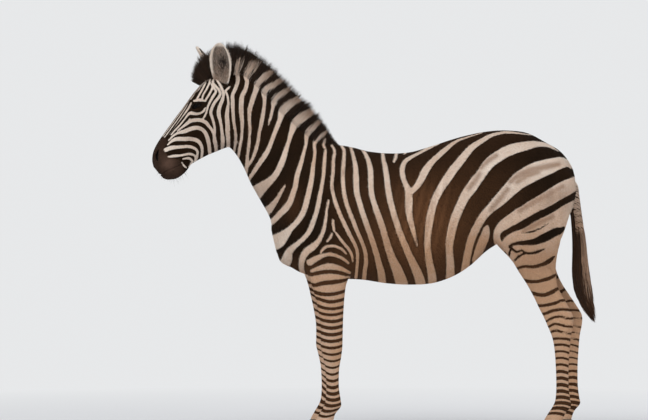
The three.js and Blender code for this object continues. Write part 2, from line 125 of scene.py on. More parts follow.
# [x, top, bottom, widest level, half width, squareness up, down]
TRUNK = drawn_through([
    [-33.9, 70.5, 64.5, 67.5, 2.0, 2.0, 2.0], [-32.6, 77.5, 60.8, 68.0, 7.0, 2.0, 2.0],
    [-29.5, 88.0, 58.8, 69.0, 11.0, 2.0, 2.1], [-25.0, 96.0, 56.4, 69.5, 13.4, 1.8, 2.2],
    [-19.0, 99.2, 55.0, 70.0, 15.0, 1.6, 2.2], [-12.0, 100.2, 54.5, 70.5, 16.8, 1.5, 2.2],
    [-4.0, 99.2, 54.1, 71.0, 18.8, 1.6, 2.2], [4.0, 98.3, 52.9, 71.5, 20.6, 1.8, 2.2],
    [12.0, 98.6, 52.4, 72.0, 21.8, 1.9, 2.15], [20.0, 100.8, 52.9, 73.0, 22.0, 2.0, 2.1],
    [27.0, 103.1, 55.2, 75.5, 21.4, 2.0, 2.1], [33.0, 104.7, 58.9, 78.5, 20.4, 2.0, 2.1],
    [39.5, 105.9, 64.6, 81.0, 19.4, 2.0, 2.1], [46.0, 106.2, 68.0, 83.0, 18.8, 2.0, 2.1],
    [53.0, 105.3, 69.5, 84.0, 17.6, 1.9, 2.1], [59.5, 102.0, 71.0, 85.0, 15.4, 1.9, 2.1],
    [64.5, 98.9, 73.5, 85.5, 12.4, 2.0, 2.1], [68.0, 94.4, 77.5, 86.0, 8.4, 2.0, 2.0],
    [69.6, 90.0, 82.5, 86.2, 4.2, 2.0, 2.0]], 12)
NECK_BELOW, NECK_ABOVE = 0.42, 0.58      # shares of the neck's depth under and over its middle
# [front x, front z, crest x, crest z, half width]
NECK = drawn_through([
    [-53.5, 103.0, -52.5, 123.6, 5.2], [-48.6, 98.4, -45.6, 126.4, 5.8],
    [-45.4, 93.2, -38.6, 120.2, 6.4], [-43.0, 87.8, -32.9, 113.8, 7.2],
    [-39.9, 82.2, -27.4, 108.8, 8.4], [-36.5, 76.0, -21.2, 103.2, 10.4],
    [-34.6, 69.6, -14.6, 100.4, 13.0], [-31.0, 63.0, -8.0, 98.4, 14.6]], 20)
# [along, brow or nose line, jaw line, widest level, half width, squareness up, down]
HEAD = drawn_through([
    [-8.0, 9.6, -3.0, 3.5, 4.6, 2.0, 2.0], [-5.0, 11.8, -7.5, 3.5, 6.4, 2.1, 2.0],
    [-1.0, 12.9, -10.4, 4.0, 7.6, 2.3, 2.0], [3.0, 12.5, -11.0, 5.0, 8.0, 2.5, 2.0],
    [6.5, 11.7, -10.2, 5.2, 8.0, 2.5, 2.0], [10.0, 10.8, -9.0, 4.0, 7.2, 2.3, 2.0],
    [14.0, 9.9, -7.8, 2.6, 6.0, 2.2, 2.0], [18.0, 8.9, -6.9, 1.8, 5.1, 2.2, 2.1],
    [21.5, 8.0, -6.4, 1.4, 4.7, 2.2, 2.2], [25.0, 7.0, -6.3, 1.0, 4.9, 2.3, 2.3],
    [28.0, 5.6, -6.5, 0.2, 4.8, 2.3, 2.3], [30.2, 3.6, -5.6, -0.8, 3.9, 2.2, 2.2],
    [31.5, 1.2, -3.8, -1.3, 2.3, 2.0, 2.0]], 12)
# Level sections of a leg: [z, front x, back x, distance from the midline, half thickness]
FORELEG = drawn_through([
    [94.0, -18.2, -10.6, 5.0, 2.8], [86.0, -23.4, -9.0, 7.8, 4.5], [77.0, -28.0, -7.6, 9.9, 5.9],
    [69.5, -29.3, -6.8, 10.4, 6.0], [62.5, -26.8, -7.4, 10.3, 5.6], [57.5, -23.9, -8.6, 9.9, 4.8],
    [53.0, -22.0, -9.7, 9.6, 4.2], [48.3, -20.7, -10.3, 9.3, 3.7], [44.0, -19.7, -10.6, 9.1, 3.2],
    [39.0, -18.9, -10.8, 8.9, 2.8], [34.6, -18.8, -10.9, 8.8, 2.9], [31.2, -18.8, -11.0, 8.8, 3.0],
    [27.8, -18.0, -11.4, 8.8, 2.6], [23.6, -17.2, -12.1, 8.7, 2.05], [17.7, -16.9, -12.2, 8.7, 1.95],
    [13.2, -17.1, -11.6, 8.7, 2.25], [10.8, -17.8, -11.5, 8.7, 2.5], [8.2, -19.3, -13.4, 8.7, 2.15],
    [5.6, -20.7, -14.2, 8.7, 2.5], [4.4, -20.8, -14.6, 8.7, 2.3]], 8)[::-1]
HINDLEG = drawn_through([
    [99.0, 49.5, 61.5, 5.6, 3.0], [92.5, 44.5, 67.2, 8.6, 6.0], [85.5, 41.0, 69.4, 10.2, 7.6],
    [78.5, 39.8, 67.6, 10.6, 8.2], [72.0, 39.8, 65.6, 10.5, 7.6], [67.0, 42.4, 63.9, 10.2, 6.6],
    [62.2, 46.4, 62.8, 10.0, 5.5], [57.3, 49.4, 62.5, 9.8, 4.6], [52.8, 52.3, 63.4, 9.6, 3.9],
    [48.6, 54.6, 65.2, 9.4, 3.25], [44.8, 56.4, 67.1, 9.3, 2.75], [41.7, 58.0, 68.5, 9.2, 2.65],
    [38.5, 59.4, 68.5, 9.2, 2.9], [35.1, 60.8, 67.8, 9.1, 2.75], [31.0, 61.7, 67.4, 9.0, 2.3],
    [24.7, 62.2, 67.0, 8.9, 2.0], [17.7, 62.4, 67.0, 8.8, 1.95], [13.2, 62.1, 67.5, 8.8, 2.25],
    [10.8, 61.2, 67.8, 8.8, 2.5], [8.2, 59.5, 65.8, 8.8, 2.15], [5.6, 58.0, 64.8, 8.8, 2.5],
    [4.4, 57.9, 64.4, 8.8, 2.3]], 8)[::-1]
# [z, x, half depth, half width]
DOCK = drawn_through([
    [89.4, 65.6, 2.4, 2.6], [87.2, 68.4, 2.2, 2.4], [82.8, 69.4, 2.0, 2.2], [77.8, 70.1, 2.0, 2.1],
    [72.0, 70.8, 2.1, 2.1], [66.0, 71.2, 2.3, 2.1], [61.0, 71.4, 2.3, 2.1]], 8)[::-1]
# Each leg: stations, side of the body, how far its foot steps, and the levels of that step
LEGS = {
    "foreleg_left": (FORELEG, -1, 0.0, 86, 44), "foreleg_right": (FORELEG, 1, -1.6, 86, 44),
    "hindleg_left": (HINDLEG, -1, 0.0, 68, 40), "hindleg_right": (HINDLEG, 1, 4.4, 68, 40),
}


def smooth_step(value, start, end):
    t = np.clip((value - start) / (end - start), 0, 1)
    return t * t * (3 - 2 * t)


def leg_step(leg, level):
    _, _, step, start, end = LEGS[leg]
    return step * smooth_step(-np.asarray(level, dtype=float), -start, -end)


# Two distances as one: the forms run together over the width k, or the second is cut away.
def flow(a, b, k):
    near = np.maximum(k - np.abs(a - b), 0) / k
    return np.minimum(a, b) - near * near * k / 4


def cut_away(a, b, k):
    return -flow(-a, b, k)


def from_trunk(x, y, z):
    top, bottom, level, side, up, down = within(x, TRUNK)
    d = from_oval(z - level, y, top - level, level - bottom, side, up, down)
    return np.maximum(d, np.maximum(TRUNK[0, 0] - x, x - TRUNK[-1, 0]))


def from_neck(x, y, z):
    d = np.full(len(x), 40.0)
    near = np.flatnonzero((x < 0) & (z > 55))
    px, pz, py = x[near], z[near], y[near]
    front, crest = NECK[:, 0:2], NECK[:, 2:4]
    reach = crest - front
    turn = (reach[:, 0][None] * (pz[:, None] - front[:, 1][None])
            - reach[:, 1][None] * (px[:, None] - front[:, 0][None]))
    past = (turn < 0).sum(axis=1)
    i = np.clip(past, 1, len(NECK) - 1)
    rows = np.arange(len(px))
    f = np.clip(turn[rows, i - 1] / (turn[rows, i - 1] - turn[rows, i] + 1e-9), 0, 1)[:, None]
    row = NECK[i - 1] * (1 - f) + NECK[i] * f
    deep = np.hypot(row[:, 2] - row[:, 0], row[:, 3] - row[:, 1])
    ux, uz = (row[:, 2] - row[:, 0]) / deep, (row[:, 3] - row[:, 1]) / deep
    rise = (px - row[:, 0]) * ux + (pz - row[:, 1]) * uz - NECK_BELOW * deep
    oval = from_oval(rise, py, NECK_ABOVE * deep, NECK_BELOW * deep, row[:, 4], 1.7, 2.15)
    beyond = np.abs((px - row[:, 0]) * uz - (pz - row[:, 1]) * ux)
    d[near] = np.maximum(oval, np.where((past == 0) | (past >= len(NECK)), beyond, -9))
    return d


def from_skull(x, y, z):
    along, up = head_axes(x, z)
    top, bottom, level, side, square_up, square_down = within(along, HEAD)
    d = from_oval(up - level, y, top - level, level - bottom, side, square_up, square_down)
    return np.maximum(d, np.maximum(HEAD[0, 0] - along, along - HEAD[-1, 0]))


def from_leg(leg, x, y, z):
    stations, sign = LEGS[leg][:2]
    front, back, off, half = within(z, stations)
    middle, long = (front + back) / 2 + leg_step(leg, z), (back - front) / 2
    d = from_oval(x - middle, y - sign * off, long, long, half, 2.1, 2.1)
    return np.maximum(d, np.maximum(stations[0, 0] - z, z - stations[-1, 0]))


def from_dock(x, y, z):
    middle, deep, wide = within(z, DOCK)
    d = from_oval(x - middle, y, deep, deep, wide, 2.0, 2.0)
    return np.maximum(d, np.maximum(DOCK[0, 0] - z, z - DOCK[-1, 0]))


# Distance out of an ellipsoid placed along, up and across the head, on both sides of it.
def from_boulder(along, up, across, at, radii):
    q = [(value - c) / r for value, c, r in zip((along, up, across), at, radii)]
    length = np.sqrt(sum(v * v for v in q))
    slope = np.sqrt(sum((v / r) ** 2 for v, r in zip(q, radii)))
    return length * (length - 1) / np.maximum(slope, 1e-4)


def unit(vector):
    vector = np.array(vector, dtype=float)
    return vector / np.linalg.norm(vector)


# The eye looks sideways, a little forward and up; its slit rises slightly towards the ear.
GAZE = unit([0.26, 0.14, 0.955])                 # along, up and across the head
SLIT = unit(np.array([0.956, 0.292, 0.0]) - GAZE * (GAZE @ [0.956, 0.292, 0.0]))
LID_UP = np.cross(SLIT, GAZE) * np.sign(np.cross(SLIT, GAZE)[1])
LID_THICKNESS = 0.24
SLIT_HALF, LID_RISE, LID_DROP = 1.36, 0.86, 0.6


def eye_axes(along, up, across):
    q = np.stack([along - EYE_ALONG, up - EYE_UP, across - EYE_SIDE], axis=-1)
    return q @ SLIT, q @ LID_UP, q @ GAZE


# Distance out of the almond-shaped opening between the lids.
def lid_opening(slit, rise):
    lid = np.where(rise > 0, LID_RISE, LID_DROP)
    return (np.sqrt(np.abs(slit / SLIT_HALF) ** 1.7 + (rise / lid) ** 2 + 1e-6) - 1) * lid


# Rounded forms on the skull: centre and radii along, up and across, and how softly they join
SKULL_FORMS = [
    ((4.0, 9.4, 5.8), (3.9, 1.6, 1.9), 2.0), ((3.2, -4.4, 4.3), (6.6, 6.0, 3.1), 2.0),
    ((11.5, 1.6, 4.6), (5.5, 1.5, 1.9), 1.4), ((27.0, 2.5, 3.2), (2.8, 2.6, 2.1), 1.4),
    ((25.2, -5.6, 0.9), (3.4, 1.6, 1.9), 1.8), ((26.6, -2.0, 2.9), (4.2, 1.9, 1.9), 1.2),
    ((-3.6, 7.6, 3.7), (2.9, 2.9, 2.5), 2.2),
]
# Lines along which the face sinks or swells: height, width, then along and up of its points
FACE_LINES = [
    (-0.18, 1.2, [(9.2, 5.2), (13.0, 4.9), (18.0, 4.4)]),        # between nose and cheek ridge
    (0.12, 0.8, [(7.6, 2.2), (11.0, 1.6), (15.5, 1.0)]),         # the cheek ridge
    (-0.12, 1.1, [(8.0, -0.6), (12.0, -1.2), (17.0, -1.6)]),     # hollow under it
    (-0.30, 1.2, [(-1.5, 9.8), (0.6, 10.4), (2.0, 10.8)]),       # hollow above and behind the eye
    (-0.20, 0.5, [(8.2, 8.6), (9.2, 7.4), (9.0, 6.0)]),          # in front of the eye
    (-0.14, 0.35, [(4.0, 5.4), (6.0, 4.7), (8.4, 5.0)]),         # under the lower lid
    (-0.18, 1.2, [(10.5, -6.6), (10.8, -3.6), (9.8, -1.2)]),     # front edge of the jaw muscle
    (0.2, 0.5, [(24.6, 5.6), (26.2, 5.3), (27.6, 4.9)]),         # wing over the nostril
    (-0.12, 0.7, [(21.0, -1.2), (22.8, -1.8), (24.6, -1.6)]),    # behind the lip
    (0.16, 0.7, [(22.4, -3.0), (25.8, -1.4), (29.6, -0.8)]),     # the upper lip
]
MOUTH = [(20.9, -4.5), (23.0, -4.3), (25.5, -3.7), (28.0, -3.0), (30.0, -2.5), (32.0, -2.2)]
NOSTRIL = [(26.3, 4.4, 0.4), (27.2, 3.9, 0.8), (28.1, 3.1, 1.05), (28.7, 2.0, 0.6)]
NOSTRIL_DEPTH, NOSTRIL_RIM = 1.15, 0.16


# Signed distance from points in a plane to a tapering stroke: rows of x, z and width.
def from_stroke(x, z, rows, steps=4, reach=6.0):
    line = drawn_through(rows, steps)
    out = np.full(len(x), reach)
    low, high = line.min(axis=0) - reach, line.max(axis=0) + reach
    near = np.flatnonzero((x > low[0]) & (x < high[0]) & (z > low[1]) & (z < high[1]))
    px, pz = x[near], z[near]
    best = out[near]
    for (ax, az, aw), (bx, bz, bw) in zip(line[:-1], line[1:]):
        dx, dz = bx - ax, bz - az
        t = np.clip(((px - ax) * dx + (pz - az) * dz) / (dx * dx + dz * dz + 1e-9), 0, 1)
        gap = np.hypot(px - ax - t * dx, pz - az - t * dz) - (aw + t * (bw - aw)) / 2
        best = np.minimum(best, gap)
    out[near] = best
    return out


def swell(x, z, height, width, points):
    gap = from_stroke(x, z, [(*p, 0.0) for p in points], reach=3.2 * width)
    return height * np.exp(-(gap / width) ** 2)


# The face over the skull: orbits and lids, nostrils, lips and the hollows of a lean head.
def from_head(x, y, z):
    d = np.full(len(x), 40.0)
    near = np.flatnonzero((x < -40) & (z > 84))
    x, y, z = x[near], np.abs(y[near]), z[near]
    along, up = head_axes(x, z)
    face = from_skull(x, y, z)
    for at, radii, softness in SKULL_FORMS:
        face = flow(face, from_boulder(along, up, y, at, radii), softness)
    sideways = smooth_step(y, 0.6, 2.6)
    for height, width, points in FACE_LINES:
        face -= swell(along, up, height, width, points) * sideways
    slit, rise, out = eye_axes(along, up, y)
    ball = np.sqrt(slit ** 2 + rise ** 2 + out ** 2)
    face = flow(face, ball - EYE_RADIUS - LID_THICKNESS, 0.8)
    opening = lid_opening(slit, rise)
    fold = opening - np.where(rise > 0, 0.42, 0.5)
    face += np.where(out > 0, 0.09 * np.exp(-(fold / 0.1) ** 2), 0)
    bowl = np.maximum(opening, EYE_RADIUS - 0.3 - ball)
    face = cut_away(face, np.where(out > 0, bowl, 9), 0.14)
    face += 0.42 * np.exp(-(from_stroke(along, up, [(*p, 0.0) for p in MOUTH]) / 0.2) ** 2)
    pit = from_stroke(along, up, NOSTRIL)
    rim = NOSTRIL_RIM * np.exp(-((pit - 0.32) / 0.24) ** 2)
    face += (NOSTRIL_DEPTH * smooth_step(-pit, -0.1, 0.36) - rim) * smooth_step(y, 1.2, 2.4)
    d[near] = face
    return d


# Muscle and bone that show through the hide on both sides: height, width and a line
BODY_LINES = [
    (-0.40, 3.0, [(-17, 99), (-20, 93), (-26, 86), (-31.5, 79)]),    # ahead of the shoulder blade
    (0.35, 3.0, [(-14, 96), (-18, 88), (-24, 80), (-30, 72)]),       # shoulder blade
    (-0.26, 2.2, [(-10, 93), (-12, 86), (-17, 78), (-22, 71)]),      # behind its ridge
    (0.40, 4.0, [(-14, 76), (-15, 69), (-18, 64)]),                  # upper arm
    (-0.55, 2.3, [(-4, 84), (-6, 76), (-7, 68), (-8.5, 60)]),        # behind the shoulder
    (0.30, 1.6, [(-8.6, 62), (-9, 58), (-9.6, 55)]),                 # point of the elbow
    (-0.30, 1.3, [(-45.5, 99), (-41, 91), (-37, 83), (-33, 74)]),    # groove of the throat
    (0.30, 4.5, [(-40, 107), (-33, 98), (-27, 90)]),                 # side of the neck
    (-0.30, 1.8, [(-47, 115), (-42, 108), (-36, 100)]),              # under the crest
    (0.25, 2.4, [(36, 99), (39, 97), (43, 94)]),                     # point of the hip
    (-0.55, 3.4, [(31, 92), (34, 86), (37, 80)]),                    # hollow of the flank
    (0.35, 1.5, [(33, 76), (37, 72), (41, 69.5)]),                   # fold of the flank
    (-0.40, 1.3, [(36, 81), (39, 76), (41.5, 72.5)]),                # above that fold
    (0.40, 5.0, [(48, 90), (54, 84), (56, 76)]),                     # thigh
    (-0.45, 1.5, [(62, 93), (61, 85), (61.5, 77), (62.5, 69)]),      # between its muscles
    (0.30, 2.0, [(44, 72), (46, 69)]),                               # stifle
    (-0.30, 1.4, [(47, 76), (50, 71), (53, 66)]),                    # below the thigh
    (-0.45, 0.9, [(59.8, 58), (62.4, 53), (64.3, 48.6)]),            # before the hamstring
    (0.22, 0.8, [(61.4, 40.6), (62.8, 38.4), (63.4, 36.2)]),         # inner bones of the hock
    (-0.20, 0.7, [(65.5, 44.5), (66.3, 41.5), (65.6, 38.5)]),        # behind them
    (-0.20, 0.5, [(65.6, 34), (65.5, 26), (65.4, 17)]),              # tendon of the hind cannon
    (0.20, 0.9, [(-16.8, 35.5), (-16.6, 31)]),                       # front of the knee
    (-0.18, 0.7, [(-13.2, 38), (-13, 34), (-12.9, 30.5)]),           # behind it
    (-0.20, 0.5, [(-13.7, 28), (-13.6, 22), (-13.6, 15)]),           # tendon of the fore cannon
    (-0.22, 0.8, [(-13, 52), (-13.6, 47), (-13.6, 42)]),             # between forearm muscles
]
RIB_SLANT, RIB_SPACING, RIB_HEIGHT = -0.25, 2.9, 0.09
JOIN_NECK, JOIN_LEG, JOIN_DOCK, JOIN_HEAD = 5.0, 2.2, 1.6, 1.1       # how widely the forms run together


def from_flesh(points):
    x, y, z = points.T
    bent = y - sway(x)
    d = flow(from_trunk(x, bent, z), from_neck(x, bent, z), JOIN_NECK)
    for leg in LEGS:
        d = flow(d, from_leg(leg, x, y, z), JOIN_LEG)
    d = flow(d, from_dock(x, y, z), JOIN_DOCK)
    sideways = smooth_step(np.abs(bent), 1.5, 5.0)
    feet = smooth_step(z, 56, 50)
    for height, width, line in BODY_LINES:
        d -= swell(x, z, height, width, line) * np.maximum(sideways, feet)
    rib = np.cos((x + RIB_SLANT * (z - 75)) * 2 * math.pi / RIB_SPACING)
    d -= RIB_HEIGHT * rib * sideways * (smooth_step(x, 2, 8) * smooth_step(x, 30, 24)
                                    * smooth_step(z, 62, 68) * smooth_step(z, 94, 86))
    return flow(d, from_head(x, bent, z), JOIN_HEAD)


# ---------------------------------------------------------------- hide
# One hide over head, neck, trunk, legs and dock. It is woven over the frame's own solids as an
# even net, drawn on to the flesh, and woven finer where the body is small: on the face, round
# the eyes, and on the feet and tail.
WEAVE = 0.0112                   # metres between threads before any refining
NODE_OVERLAP = 0.002             # how far each solid is swollen so that none leaves a gap
EVENING, APPROACH = 0.5, 0.9     # shares of the way gone each round to even threads and to the flesh
FLESH_NODES = ["head", "muzzle", "neck", "trunk", "tail_dock"]
FLESH_NODES += [f"foreleg_{side}_{part}" for side in ("left", "right") for part in ("forearm", "cannon")]
FLESH_NODES += [f"hindleg_{side}_{part}" for side in ("left", "right") for part in ("gaskin", "cannon")]


# Opens a mesh for editing, and writes it back when the block ends.
@contextmanager
def editing(mesh):
    bm = bmesh.new()
    bm.from_mesh(mesh)
    yield bm
    bm.to_mesh(mesh)
    bm.free()
    mesh.update()


def woven_over(nodes, spacing):
    mesh = bpy.data.meshes.new("weave")
    with editing(mesh) as bm:
        for node in nodes:
            bm.from_mesh(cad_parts[node].data)
        bmesh.ops.remove_doubles(bm, verts=bm.verts, dist=1e-5)
        bm.normal_update()
        for v in bm.verts:
            v.co += v.normal * NODE_OVERLAP
    weave = bpy.data.objects.new("weave", mesh)
    bpy.context.collection.objects.link(weave)
    net = weave.modifiers.new("net", "REMESH")
    net.mode = "VOXEL"
    net.voxel_size = spacing
    woven = bpy.data.meshes.new_from_object(weave.evaluated_get(bpy.context.evaluated_depsgraph_get()))
    bpy.data.objects.remove(weave)
    bpy.data.meshes.remove(mesh)
    keep_outer(woven)
    return woven


# Only the net that hangs together from the highest point is kept; bubbles inside it go.
def keep_outer(mesh):
    with editing(mesh) as bm:
        todo = [max(bm.verts, key=lambda v: v.co.z)]
        kept = set(todo)
        while todo:
            found = {v for edge in todo.pop().link_edges for v in edge.verts} - kept
            kept |= found
            todo += found
        bmesh.ops.delete(bm, geom=[v for v in bm.verts if v not in kept], context="VERTS")


def read_all(items, name, width, kind=float):
    values = np.empty(len(items) * width, dtype=kind)
    items.foreach_get(name, values)
    return values.reshape(-1, width)


def read_points(mesh, name="co"):
    return read_all(mesh.vertices, name, 3)


def write_points(mesh, points):
    mesh.vertices.foreach_set("co", np.ascontiguousarray(points, dtype=np.float32).ravel())
    mesh.update()


# The mean of each point's neighbours.
def mean_of_neighbours(points, edges):
    a, b = edges.T
    total = np.bincount(np.r_[a, b], minlength=len(points))
    sums = [np.bincount(np.r_[a, b], weights=np.r_[points[b, i], points[a, i]], minlength=len(points))
            for i in range(3)]
    return np.stack(sums, axis=1) / np.maximum(total, 1)[:, None]


# Draws a net on to the flesh, keeping its threads evenly apart.
def draw_on(mesh, rounds, longest=1.5):
    edges = read_all(mesh.edges, "vertices", 2, int)
    for _ in range(rounds):
        points, normals = to_hundredths(read_points(mesh)), read_points(mesh, "normal")
        drift = mean_of_neighbours(points, edges) - points
        drift -= normals * (drift * normals).sum(axis=1)[:, None]
        points = points + EVENING * drift
        gap = from_flesh(points) + COAT_DEPTH
        rate = (from_flesh(points + 0.1 * normals) + COAT_DEPTH - gap) / 0.1
        gap = np.clip(gap / np.clip(rate, 0.7, 5), -longest, longest)
        write_points(mesh, to_metres(points - APPROACH * gap[:, None] * normals))


# Splits the faces whose points are all chosen into four.
def refine(mesh, chosen):
    with editing(mesh) as bm:
        marks = chosen(to_hundredths(np.array([v.co for v in bm.verts])))
        edges = [e for e in bm.edges if marks[e.verts[0].index] and marks[e.verts[1].index]]
        bmesh.ops.subdivide_edges(bm, edges=edges, cuts=1, use_grid_fill=True)


def small_parts(points):
    x, y, z = points.T
    along, _ = head_axes(x, z)
    return ((x < -47.5) & (along > -6.5)) | (z < 33) | ((x > 68.6) & (z > 60) & (np.abs(y) < 3))


def forearms(points):
    x, y, z = points.T
    return (z > 32) & (z < 76) & (x > -23) & (x < -5) & (np.abs(y) > 5)


def face_parts(points):
    x, y, z = points.T
    along, up = head_axes(x, z)
    return (x < -50) & ((along > 20.6) | ((along > 2.2) & (along < 10.4) & (up > 4.4) & (np.abs(y) > 3)))


def lids(points):
    x, y, z = points.T
    slit, rise, out = eye_axes(*head_axes(x, z), np.abs(y - sway(x)))
    return (out > 0.3) & (np.abs(slit) < 2.0) & (np.abs(rise) < 1.5)


hide_mesh = woven_over(FLESH_NODES + ["eye_left", "eye_right"], WEAVE)
draw_on(hide_mesh, 6)
for region, rounds in ((small_parts, 3), (forearms, 2), (face_parts, 4), (lids, 6)):
    refine(hide_mesh, region)
    draw_on(hide_mesh, rounds, 0.5)

# ---------------------------------------------------------------- ears
# Each ear is a leaf-shaped cup of gristle in thin hide, standing up from a fleshy root behind
# the brow. Its sections are swept from root to tip, and it is joined to the hide there. The
# left one opens to its own side, and the right one is turned more to the front.
EARS = {   # root, tip and the way it opens, all as x, y, z
    "left": ((*on_head(-4.8, 7.5), -3.9), (-53.5, -10.3, 136.0), (-0.35, -1, 0.05)),
    "right": ((*on_head(-3.8, 8.0), 3.9), (-61.9, 4.6, 135.4), (-1, 0.04, 0.1)),
}
# [share of the length, half width, depth of the cup, how far the cup has opened]
EAR = drawn_through([
    [-0.16, 1.7, 1.5, 0], [0.0, 2.2, 1.9, 0], [0.14, 2.9, 2.3, 0.15], [0.3, 3.6, 2.4, 0.8],
    [0.48, 4.0, 2.2, 1], [0.66, 3.8, 1.8, 1], [0.82, 3.0, 1.3, 1], [0.94, 1.7, 0.8, 1],
    [0.985, 0.8, 0.5, 1]], 5)
EAR_STEPS = 18
EAR_WALL = 0.34
EAR_BANDS = [(0.74, 0.17), (0.44, 0.035), (0.3, 0.03), (0.16, 0.03), (0.04, 0.03)]     # dark, on the back


def ear_frame(side):
    (root_x, root_z, root_y), tip, opens = EARS[side]
    root = np.array([root_x, root_y + sway(root_x), root_z])
    axis = np.array(tip) - root
    long = np.linalg.norm(axis)
    axis /= long
    across = unit(np.cross(axis, opens))
    return root, axis, across, np.cross(across, axis), long


# A place on the ear: share of its length, place across it, and on its back or in its cup.
def on_ear(side, share, u, inner, lift=0.0):
    root, axis, across, front, long = ear_frame(side)
    half, deep, opened = [np.interp(share, EAR[:, 0], EAR[:, i]) for i in (1, 2, 3)]
    back = -deep * (1 - u * u) + 0.12
    cup = back + EAR_WALL + 0.07 * np.cos(2.5 * math.pi * u) * opened
    filled = deep * 0.45 * (1 - u * u) + EAR_WALL
    forward = np.where(inner, filled + (cup - filled) * np.clip(opened, 0, 1), back)
    forward = forward + np.where(inner, lift, -lift)
    spread = u * (half - 0.08) * np.where(inner, 0.94, 1)
    return (root + np.multiply.outer(share * long, axis) + np.multiply.outer(spread, across)
            + np.multiply.outer(forward, front))


def ear_rings():
    u = np.cos(np.linspace(0, math.pi, EAR_STEPS + 1))
    return np.r_[u, u[::-1]], np.r_[np.zeros(len(u), bool), np.ones(len(u), bool)]


# Marks of the ear: cream with dark bands on its back; inside greyish, with a dark line along the white
# rim and black deep in the cup as painted shade.
def ear_marks(share, u, inner):
    mark = np.min([np.abs(share - at) - half for at, half in EAR_BANDS], axis=0) * 14.3
    rim = smooth_step(np.abs(u), 0.79, 0.93) + smooth_step(share, 0.88, 0.95)
    mark = np.where((inner | (rim > 0.5)) & (share > 0.1), 2.0, mark)
    within_rim = np.where(inner, 1 - np.clip(rim, 0, 1), 0)
    # Painted shade, deepest in the middle of the cup.
    pit = 0.92 * np.exp(-((share - 0.5) / 0.24) ** 2 - ((u - 0.06) / 0.5) ** 2)
    line = 0.75 * np.exp(-((np.abs(u) - 0.7) / 0.07) ** 2) * smooth_step(share, 0.2, 0.36)
    return np.clip(mark, -3, 3), 0.85 * within_rim, np.maximum(pit, line) * within_rim


def sheet_of_rings(rings):
    count, around = rings.shape[:2]
    index = np.arange(count * around).reshape(count, around)
    a, b = index[:-1], index[1:]
    quads = np.stack([a, np.roll(a, -1, 1), np.roll(b, -1, 1), b], axis=-1).reshape(-1, 4)
    return quads.tolist() + [index[0][::-1].tolist(), index[-1].tolist()]


# Adds an ear to the hide, and returns each of its points' share of the length and three marks.
def add_ear(bm, side):
    around, inner = ear_rings()
    share = np.repeat(EAR[:, 0], len(around))
    u, inner = np.tile(around, len(EAR)), np.tile(inner, len(EAR))
    points = on_ear(side, share, u, inner).reshape(len(EAR), -1, 3)
    corners = [bm.verts.new(p) for p in to_metres(points.reshape(-1, 3))]
    faces = [bm.faces.new([corners[i] for i in face]) for face in sheet_of_rings(points)]
    bmesh.ops.recalc_face_normals(bm, faces=faces)
    return np.stack([share, *ear_marks(share, u, inner)], axis=1)


with editing(hide_mesh) as bm:
    ear_values = np.concatenate([add_ear(bm, side) for side in EARS])

